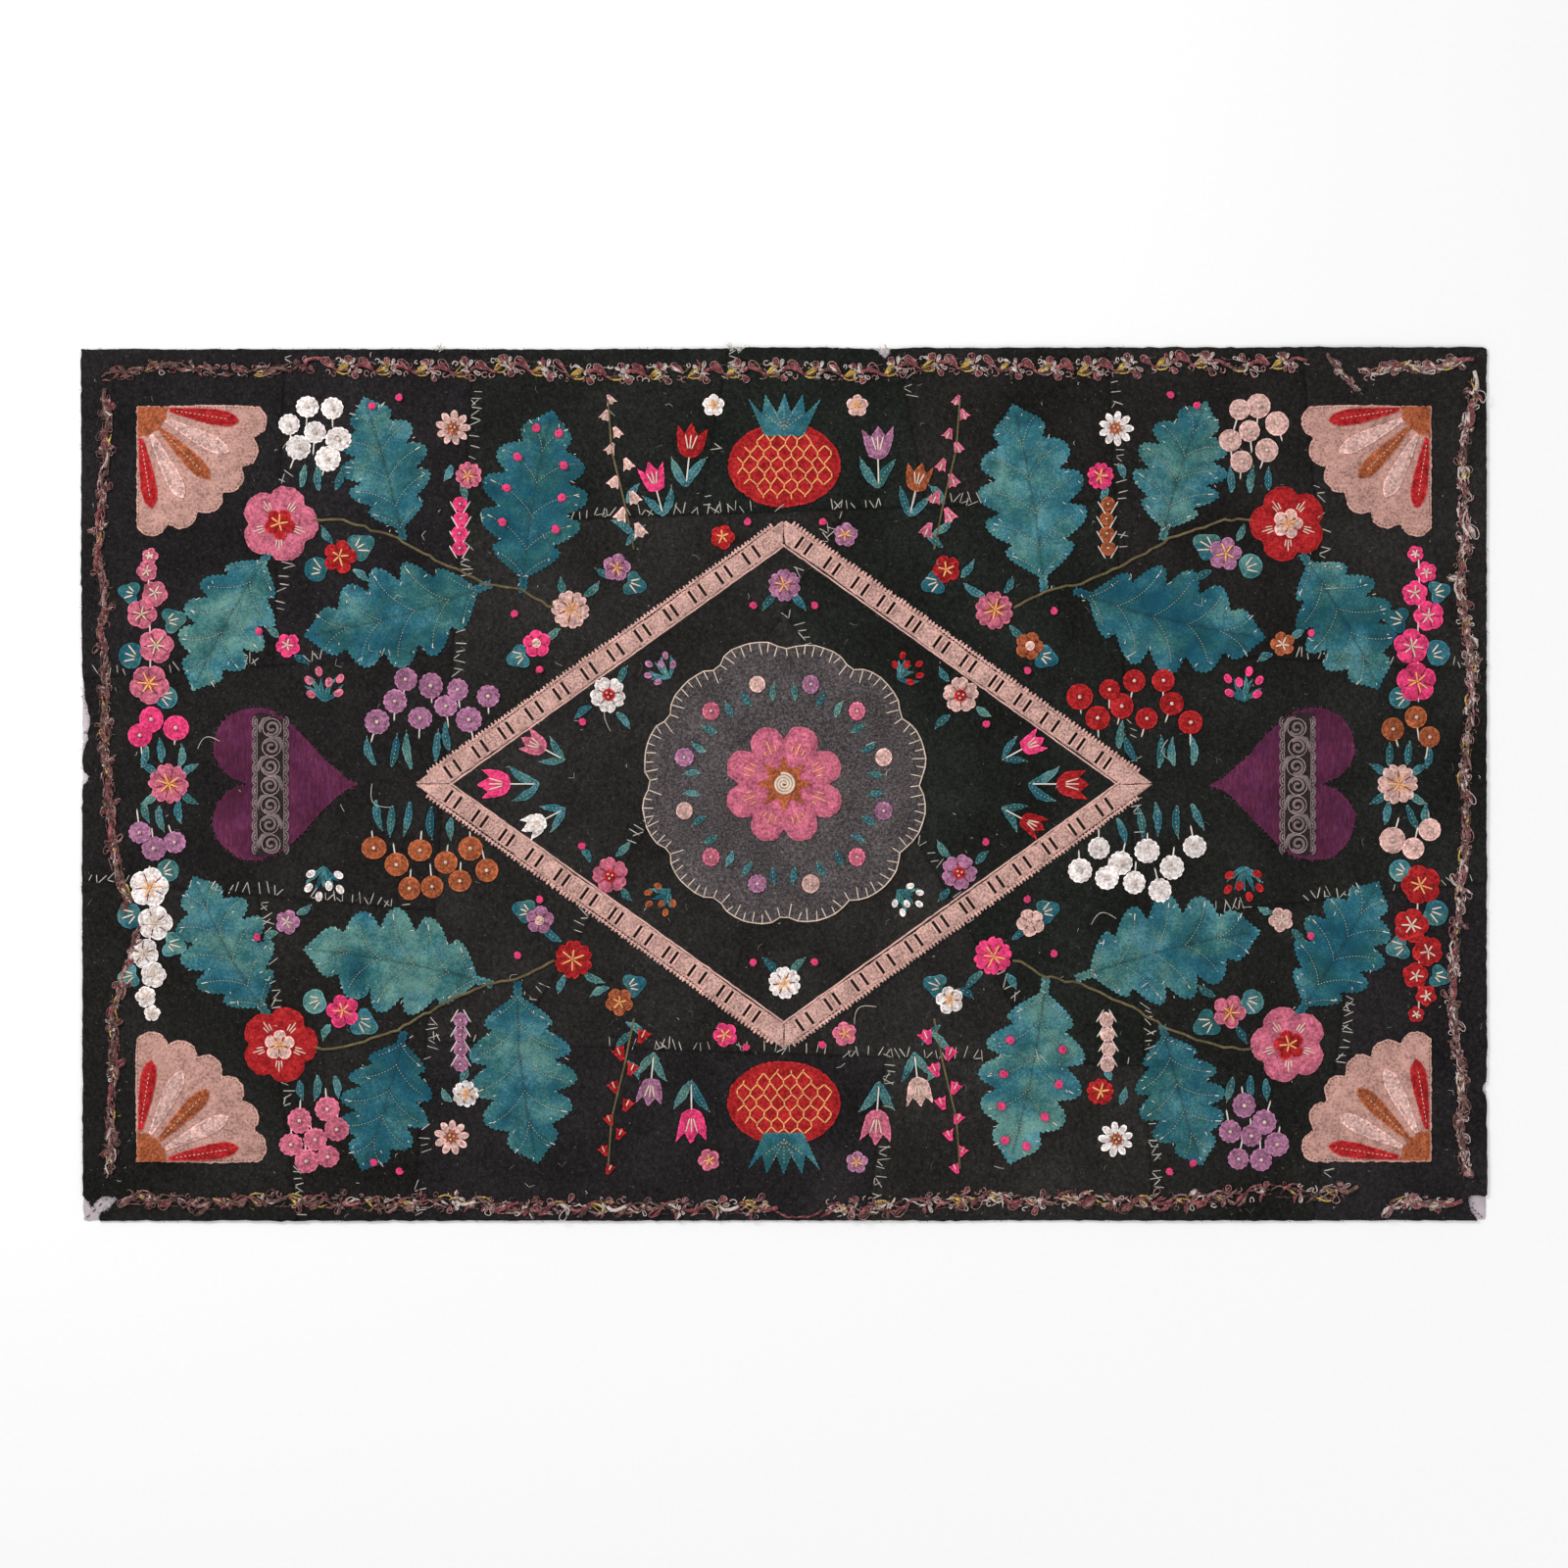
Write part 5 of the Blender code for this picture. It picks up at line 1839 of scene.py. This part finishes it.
# Places in a quarter of the rug, in millimetres from its middle.
# Pennies, by the colour of the quarter that they take.
PENNIES = {
    0: (
        (268, 56), (288, 67), (310, 57), (277, 80), (300, 86),
        (331, 70), (322, 90), (252, 74), (348, 54),
    ),
    1: ((390, 276), (412, 286), (398, 301), (420, 307), (381, 295), (406, 321), (387, 319)),
    4: ((519, 48), (538, 57), (550, 40)),
}
# Blades: x, y, turn and length, then the width of all.
BLADES = (
    (285, 29, -8, 22), (300, 20, 5, 26), (318, 15, -3, 31), (334, 16, 4, 27), (349, 14, -5, 26),
    (383, 250, 6, 21), (398, 249, -5, 22), (412, 252, 4, 19), (516, 16, 5, 21), (531, 18, -4, 22),
    (547, 15, 3, 20), (133, 204, 40, 22), (128, 212, -40, 22), (134, 238, 40, 20),
    (170, 160, 52, 20), (192, 134, 222, 20), (150, 174, -52, 17), (204, 126, 215, 17),
    (188, 162, -20, 16), (140, 88, 35, 15), (142, 62, 142, 17), (164, 66, 230, 16),
    (284, 272, 205, 15), (276, 254, 168, 14), (386, 206, -30, 17), (366, 182, 130, 16),
    (416, 110, 120, 14), (432, 126, -60, 14),
)
LEAF_WIDTH = 6.6
# Round leaves: x, y, turn, radius and lobes.
PADS = (
    (557, 110, 20, 11.0, 0.0), (522, 139, 165, 10.0, 0.35), (559, 163, 15, 9.0, 0.35),
    (526, 74, 200, 9.5, 0.0), (360, 204, 150, 11.0, 0.35), (398, 186, 20, 10.5, 0.0),
    (128, 172, 200, 9.5, 0.35), (224, 108, -20, 9.5, 0.35),
)
# Flowers: x, y, radius, petals, colour of the quarter, notch, depth of the petals and middle.
BLOOMS = (
    (541, 87, 17.0, 5, 2, 0.00, 0.16, "yellow_thread"),
    (535, 118, 15.0, 5, 2, 0.00, 0.16, "cream_thread"),
    (548, 143, 13.0, 5, 2, 0.00, 0.16, "cream_thread"),
    (537, 163, 11.0, 5, 2, 0.00, 0.16, "cream_thread"),
    (545, 181, 9.0, 5, 2, 0.00, 0.20, "cream_thread"),
    (539, 195, 7.0, 5, 2, 0.00, 0.20, "cream_thread"),
    (180, 148, 17.0, 6, 5, 0.14, 0.22, "yellow_thread"),
    (141, 184, 12.0, 5, 0, 0.00, 0.24, "yellow_thread"),
    (211, 118, 12.0, 5, 4, 0.00, 0.22, "cream"),
    (150, 76, 16.0, 5, 1, 0.12, 0.26, "red"),
    (378, 194, 14.5, 5, 3, 0.00, 0.30, "yellow_thread"),
    (270, 263, 12.0, 5, 2, 0.16, 0.22, "yellow_thread"),
    (282, 302, 15.0, 9, 6, 0.00, 0.46, "rust"),
    (52, 212, 10.5, 5, 3, 0.00, 0.22, "yellow_thread"),
    (62, 322, 9.5, 5, 1, 0.00, 0.24, "yellow_thread"),
    (424, 118, 10.5, 5, 4, 0.00, 0.24, "cream_thread"),
)
ROSEBUDS = ((172, 52), (207, 98), (330, 331), (350, 323), (229, 146), (448, 128), (32, 224))
BELL_STEM = ((128, 200), (136, 240), (147, 285), (150, 328))
SPIKE_STEM = ((541, 70), (540, 120), (542, 160), (541, 200))
SPRAY_STEM = ((196, 150), (226, 166), (252, 170), (296, 190), (330, 210), (380, 226), (418, 224))
COLOURS = {
    "ne": ("red", "cream", "magenta", "lilac", "rust", "rose", "white"),
    "nw": ("lilac", "white", "rose", "red", "magenta", "cream", "cream"),
    "sw": ("rust", "rose", "white", "magenta", "lilac", "red", "cream"),
    "se": ("white", "lilac", "red", "rose", "cream", "magenta", "white"),
}
ROSE_LEAVES = ("leaf_nw_a", "leaf_se_a")


def plant_quarter(quarter, signs):
    """The small flowers of one quarter of the rug."""
    rng = seeded(f"garden_{quarter}")
    colours = COLOURS[quarter]

    def near(x, y, spread=1.1):
        return (x + rng.normal(0, spread), y + rng.normal(0, spread))

    discs = []
    for colour, places in PENNIES.items():
        discs.extend((near(*place), colours[colour]) for place in places)
    sewing("olive_cord").follow(centre_of(BELL_STEM, signs), 0.0009)
    sewing("white_thread").follow(centre_of(SPIKE_STEM, signs), 0.0007)
    for x, y, turn, length in BLADES:
        spot = near(x, y)
        turn += rng.normal(0, 7)
        blade(spot, turn, length * rng.uniform(0.88, 1.12), LEAF_WIDTH, rng, signs)
    for x, y, turn, radius, lobes in PADS:
        round_leaf(near(x, y), turn, radius, rng, signs, lobes)
    for spot, _ in discs:
        ends = [(0, 0), (0, -rng.uniform(15, 21))]
        sew("white_thread", ends, spot, rng.normal(0, 9), signs, 0.00065)
    for spot, colour in discs:
        penny(spot, rng.uniform(9.3, 10.4), colour, rng, signs)
    for x, y, radius, petals, colour, notch, depth, middle in BLOOMS:
        bloom(near(x, y), radius, petals, colours[colour], rng, signs, notch, depth, middle)
    tulip(near(80, 292), rng.normal(0, 4), 30, colours[3], rng, signs)
    tulip(near(114, 262), rng.normal(-8, 4), 26, colours[4], rng, signs)
    tulip(near(212, 34), -62, 23, colours[2], rng, signs)
    for index in range(9):
        share = index / 8
        side = 1 if index % 2 else -1
        spot = near(130 + 21 * share + side * (8 - 4 * share), 216 + 112 * share, 0.8)
        bell(spot, side * 24, 13 - 4 * share, colours[5], rng, signs)
    stack(276, 201, 4, colours[4], rng, signs)
    tuft((392, 70), 0, 24, colours[2], rng, signs)
    tuft((97, 90), -46, 20, colours[0], rng, signs)
    for place in ROSEBUDS:
        rosebud(near(*place), rng, signs)


def plant_rose_leaves():
    """Rosebuds sewn over two of the leaves."""
    for name in ROSE_LEAVES:
        rng = seeded(f"roses_{name}")
        _, veins = leaf_veins(cad_outline(name))
        for vein in veins[:8]:
            rosebud(vein[6] / MM, rng, size=1.15)


def plant_axes():
    """The flowers on the rug's two middle lines."""
    rng = seeded("axes")
    for side in (-1, 1):
        signs = (side, 1)
        for turn in (-125, -55, 55, 125):
            blade(beside((524, 0), (0, 12), turn), turn, 18, LEAF_WIDTH, rng, signs)
        bloom((524, 0), 18, 6, "cream" if side > 0 else "rose", rng, signs, 0.14)
        tulip((246, 0), -90, 29, "red" if side > 0 else "magenta", rng, signs)
        signs = (1, side)
        for lean in (-40, 40):
            blade(beside((0, 170), (0, -9), lean), 180 + lean, 20, LEAF_WIDTH, rng, signs)
        bloom((0, 170), 14.5, 6, "lilac" if side > 0 else "white", rng, signs, 0.14)
        for x in (-26, 26):
            rosebud((x, 152), rng, signs)


def make_stems():
    """The cord that runs through the leaves of each spray to its blossom."""
    for quarter, signs in QUARTERS.items():
        rng = seeded(f"stem_{quarter}")
        line, _, _ = walk(np.array(SPRAY_STEM) * MM, 0.006)
        line = (line + rng.normal(0, 0.0007, line.shape)) * np.array(signs)
        sewing("olive_cord").follow(line, 0.0011)


def make_flowers():
    make_stems()
    make_blossoms()
    for quarter, signs in QUARTERS.items():
        plant_quarter(quarter, signs)
    plant_rose_leaves()
    plant_axes()


# ---- surface stitches and lint


def make_grass():
    """White straight stitches growing along the seams of the ground."""
    rng = seeded("grass")
    threads = Threads("grass_stitches", ["grass_thread"], "white_thread")

    def free(*places):
        return all(abs(height(*place) - GROUND_TOP) < 0.0009 for place in places)

    for start, end in SEAM_LINES:
        span = end - start
        length = float(np.linalg.norm(span))
        along = span / length
        up = np.array([-along[1], along[0]])
        if up[1] < -0.2 or (abs(up[1]) <= 0.2 and up[0] < 0):
            up = -up
        run = rng.uniform(0.004, 0.02)
        while run < length - 0.006:
            if rng.random() < 0.05:
                run += rng.uniform(0.02, 0.06)
                continue
            base = start + along * run + up * rng.normal(0.001, 0.0012)
            lean = rng.normal(0, 0.42)
            for tilt in ((lean - 0.5, lean + 0.45) if rng.random() < 0.35 else (lean,)):
                way = up * math.cos(tilt) + along * math.sin(tilt)
                tip = base + way * sizes().grass * rng.uniform(0.65, 1.25)
                if free(base, tip):
                    threads.stitch(base + along * tilt * 0.001, tip, rng.uniform(0.00034, 0.00050))
            run += rng.uniform(0.0048, 0.0088)
    threads.finish()


# Bits of lint all over the rug.
HAIRS = 620
# Loose ends of thread: x, y, turn and length.
LOOSE_ENDS = (
    (-0.148, 0.045, 70, 0.030), (0.262, -0.120, 15, 0.022), (-0.335, -0.020, 130, 0.026),
    (0.330, 0.020, 100, 0.018), (0.060, -0.205, 40, 0.024), (-0.500, 0.030, 20, 0.020),
)
# Places along the far edge where light tufts stand.
TUFTS = (-0.294, -0.046, -0.038, 0.085)


def make_lint():
    """Lint, hairs and loose ends caught on the wool, and light tufts on the worn edges."""
    rng = seeded("lint")
    lint = Threads("lint", ["lint_pale", "lint_dim"], "white_thread")
    for _ in range(HAIRS):
        x, y = rng.uniform(-1, 1, 2) * (HALF_LENGTH - 0.006, HALF_WIDTH - 0.006)
        length = rng.uniform(0.0006, 0.0030) if rng.random() < 0.8 else rng.uniform(0.003, 0.009)
        heading, curl = rng.uniform(0, TAU), rng.normal(0, 1.0)
        share = np.linspace(0, 1, 3)
        hair = np.stack([share, curl * share * (1 - share)], axis=1) * length
        hair = placed(hair, (x, y), math.degrees(heading))
        dim = int(rng.random() < 0.7)
        lint.follow(hair, rng.uniform(0.00012, 0.00026), dim, 0.8)
    for x, y, turn, length in LOOSE_ENDS:
        share = np.linspace(0, 1, 8)
        thread_end = np.stack([share, 0.35 * np.sin(share * 3.2)], axis=1) * length
        lint.follow(placed(thread_end, (x, y), turn), 0.00030, 0, 1.0)
    for x in TUFTS:
        for _ in range(9):
            foot = np.array([x, HALF_WIDTH - 0.003]) + rng.normal(0, 0.0012, 2)
            hair = placed([(0, 0), (0.001, 0.0015), (0.0006, 0.004)], foot, rng.normal(0, 40))
            top = GROUND_TOP + rng.uniform(0, 0.001, 3)
            lint.run(hair, top, 0.0003)
    lint.finish()


# How far in from the straight edge the cloth is worn away.
WORN_IN = 0.003
# The mitre seams, each from its corner inwards.
MITRES = (((-0.5950, -0.3700), (-0.577, -0.353)), ((0.5960, -0.3700), (0.587, -0.361)))
# The bare cord along the edge, between the two lengths of the bottom braid.
BARE_CORD = ((-0.010, -0.3625), (0.001, -0.3688), (0.021, -0.3692), (0.033, -0.3640))


def make_worn_edges():
    """Frayed canvas and wool fibres at the worn corners and bites, and the mitre stitches."""
    rng = seeded("worn")
    fray = Threads("worn_edge_fibres", ["canvas_thread", "wool_thread"], "canvas")
    for place, way, out in round_edge(wound(cad_outline("ground_cloth")), 0.0012):
        worn = abs(place[0]) < HALF_LENGTH - WORN_IN and abs(place[1]) < HALF_WIDTH - WORN_IN
        if rng.random() > (0.9 if worn else 0.10):
            continue
        reach = rng.uniform(0.001, 0.004) if worn else rng.uniform(0.0005, 0.0016)
        end = place + (out + way * rng.normal(0, 0.8)) * reach
        middle = (place + end) / 2 + rng.normal(0, 0.0003, 2)
        line = np.array([place - out * 0.001, middle, end])
        rise = GROUND_TOP - rng.uniform(0.0003, 0.0019, 3)
        fray.run(line, rise, rng.uniform(0.0001, 0.0002), int(rng.random() < 0.55))
    fray.finish()
    seams = Threads("mitre_stitches", ["braid_burgundy"], "dark_thread")
    for corner, inner in MITRES:
        line = np.linspace(corner, inner, 8)
        for start, end in zip(line[:-1:2], line[1::2]):
            seams.stitch(start, end, 0.00045)
    line, _, _ = walk(BARE_CORD, 0.0022)
    line = line + rng.normal(0, 0.0004, line.shape)
    rise = np.full(len(line), GROUND_TOP + 0.0006)
    seams.run(line, rise, rng.uniform(0.0004, 0.0011, len(line)))
    seams.finish()


def gather_up():
    """Makes the pieces that small flowers and their threads were gathered into."""
    for threads in SEWING.values():
        threads.finish()
    for name, slot in CLOTH_SLOTS.items():
        if name in HEAPS:
            TRIMMINGS.append(make_object(name, data_of(name, HEAPS[name]), slot))


# ---- stage

LENS = 0.085
FILM = 0.036
PICTURE_WIDTH = 1.3372
FLOOR_REACH = 6.0
FLOOR_DROP = 0.0002
SKY = 0.62
# Lights: place, width and power.
LIGHTS = {"key": ((-1.9, 1.7, 1.9), 0.9, 59.0), "fill": ((1.9, -1.5, 2.4), 2.4, 29.0)}


def add_light(name, place, width, power):
    """A round soft light that looks at the middle of the rug."""
    data = bpy.data.lights.new(name, "AREA")
    data.shape = "DISK"
    data.size = width
    data.energy = power
    lamp = bpy.data.objects.new(name, data)
    lamp.location = place
    lamp.rotation_euler = (-Vector(place)).to_track_quat("-Z", "Y").to_euler()
    bpy.context.scene.collection.objects.link(lamp)


def make_stage():
    scene = bpy.context.scene
    mesh = bmesh.new()
    bmesh.ops.create_grid(mesh, x_segments=2, y_segments=2, size=FLOOR_REACH)
    bmesh.ops.translate(mesh, verts=mesh.verts, vec=(0, 0, -FLOOR_DROP))
    data = data_of("studio_floor", mesh)
    data.materials.append(finish("floor_paper"))
    floor = bpy.data.objects.new("studio_floor", data)
    scene.collection.objects.link(floor)

    camera = bpy.data.cameras.new("camera")
    camera.lens = LENS / MM
    camera.sensor_width = FILM / MM
    holder = bpy.data.objects.new("camera", camera)
    holder.location = (0, 0, GROUND_TOP + PICTURE_WIDTH * LENS / FILM)
    scene.collection.objects.link(holder)
    scene.camera = holder

    world = bpy.data.worlds.new("studio")
    world.use_nodes = True
    sky = world.node_tree.nodes["Background"].inputs
    sky["Color"].default_value = (1, 1, 1, 1)
    sky["Strength"].default_value = SKY
    scene.world = world
    for name, (place, width, power) in LIGHTS.items():
        add_light(name, place, width, power)
    scene.view_settings.view_transform = "Standard"


# ---- add-on


class RUG_OT_stage(bpy.types.Operator):
    """Set out the pale floor, the soft light and the camera"""

    bl_idname = "rug.stage"
    bl_label = "Studio"

    def execute(self, context):
        make_stage()
        return {"FINISHED"}


class RUG_OT_canvas(bpy.types.Operator):
    """Lay the backing canvas"""

    bl_idname = "rug.canvas"
    bl_label = "Backing canvas"

    def execute(self, context):
        make_canvas()
        return {"FINISHED"}


class RUG_OT_ground(bpy.types.Operator):
    """Lay the pieced black wool ground"""

    bl_idname = "rug.ground"
    bl_label = "Ground"

    def execute(self, context):
        make_ground()
        return {"FINISHED"}


class RUG_OT_leaves(bpy.types.Operator):
    """Cut and stitch the sixteen wool leaves"""

    bl_idname = "rug.leaves"
    bl_label = "Leaves"

    def execute(self, context):
        make_leaves()
        return {"FINISHED"}


class RUG_OT_braid(bpy.types.Operator):
    """Loop the ten lengths of border braid"""

    bl_idname = "rug.braid"
    bl_label = "Border braid"

    def execute(self, context):
        make_braid()
        return {"FINISHED"}


class RUG_OT_lace(bpy.types.Operator):
    """Lay the beading lace diamond"""

    bl_idname = "rug.lace"
    bl_label = "Lace diamond"

    def execute(self, context):
        make_lace_diamond()
        return {"FINISHED"}


class RUG_OT_medallion(bpy.types.Operator):
    """Cut and stitch the medallion and its rosette"""

    bl_idname = "rug.medallion"
    bl_label = "Medallion"

    def execute(self, context):
        make_medallion()
        return {"FINISHED"}


class RUG_OT_hearts(bpy.types.Operator):
    """Cut the twill hearts and their scroll lace"""

    bl_idname = "rug.hearts"
    bl_label = "Hearts"

    def execute(self, context):
        make_hearts()
        return {"FINISHED"}


class RUG_OT_pomegranates(bpy.types.Operator):
    """Cut the pomegranates and stitch their honeycomb"""

    bl_idname = "rug.pomegranates"
    bl_label = "Pomegranates"

    def execute(self, context):
        make_pomegranates()
        return {"FINISHED"}


class RUG_OT_fans(bpy.types.Operator):
    """Cut and stitch the corner fans"""

    bl_idname = "rug.fans"
    bl_label = "Corner fans"

    def execute(self, context):
        make_fans()
        return {"FINISHED"}


class RUG_OT_flowers(bpy.types.Operator):
    """Plant the small felt flowers and their leaves"""

    bl_idname = "rug.flowers"
    bl_label = "Flowers"

    def execute(self, context):
        make_flowers()
        return {"FINISHED"}


class RUG_OT_stitches(bpy.types.Operator):
    """Sew the grass stitches and gather the small pieces"""

    bl_idname = "rug.stitches"
    bl_label = "Stitches and lint"

    def execute(self, context):
        make_grass()
        make_lint()
        make_worn_edges()
        gather_up()
        return {"FINISHED"}


OPERATORS = (
    RUG_OT_stage, RUG_OT_canvas, RUG_OT_ground, RUG_OT_leaves, RUG_OT_braid, RUG_OT_lace,
    RUG_OT_medallion, RUG_OT_hearts, RUG_OT_pomegranates, RUG_OT_fans, RUG_OT_flowers,
    RUG_OT_stitches,
)


class RUG_PT_panel(bpy.types.Panel):
    """Lists the pieces of the rug and their settings"""

    bl_idname = "RUG_PT_panel"
    bl_label = "Applique rug"
    bl_space_type = "VIEW_3D"
    bl_region_type = "UI"
    bl_category = "Rug"

    def draw(self, context):
        for operator in OPERATORS:
            self.layout.operator(operator.bl_idname)
        for group in (context.scene.rug_sizes, context.scene.rug_colours):
            for setting in group.bl_rna.properties.keys():
                if setting not in ("rna_type", "name"):
                    self.layout.prop(group, setting)


CLASSES = (RugColours, RugSizes, *OPERATORS, RUG_PT_panel)


def register():
    for cls in CLASSES:
        bpy.utils.register_class(cls)
    bpy.types.Scene.rug_colours = bpy.props.PointerProperty(type=RugColours)
    bpy.types.Scene.rug_sizes = bpy.props.PointerProperty(type=RugSizes)


def unregister():
    del bpy.types.Scene.rug_sizes
    del bpy.types.Scene.rug_colours
    for cls in reversed(CLASSES):
        bpy.utils.unregister_class(cls)


def main():
    register()
    for operator in OPERATORS:
        group, name = operator.bl_idname.split(".")
        getattr(getattr(bpy.ops, group), name)()
    ground = bpy.data.objects["ground_cloth_cloth"]
    declare(ground, cad_outline("ground_cloth"), ["backing_canvas_cloth"], with_pieces=TRIMMINGS)


if __name__ == "__main__":
    main()
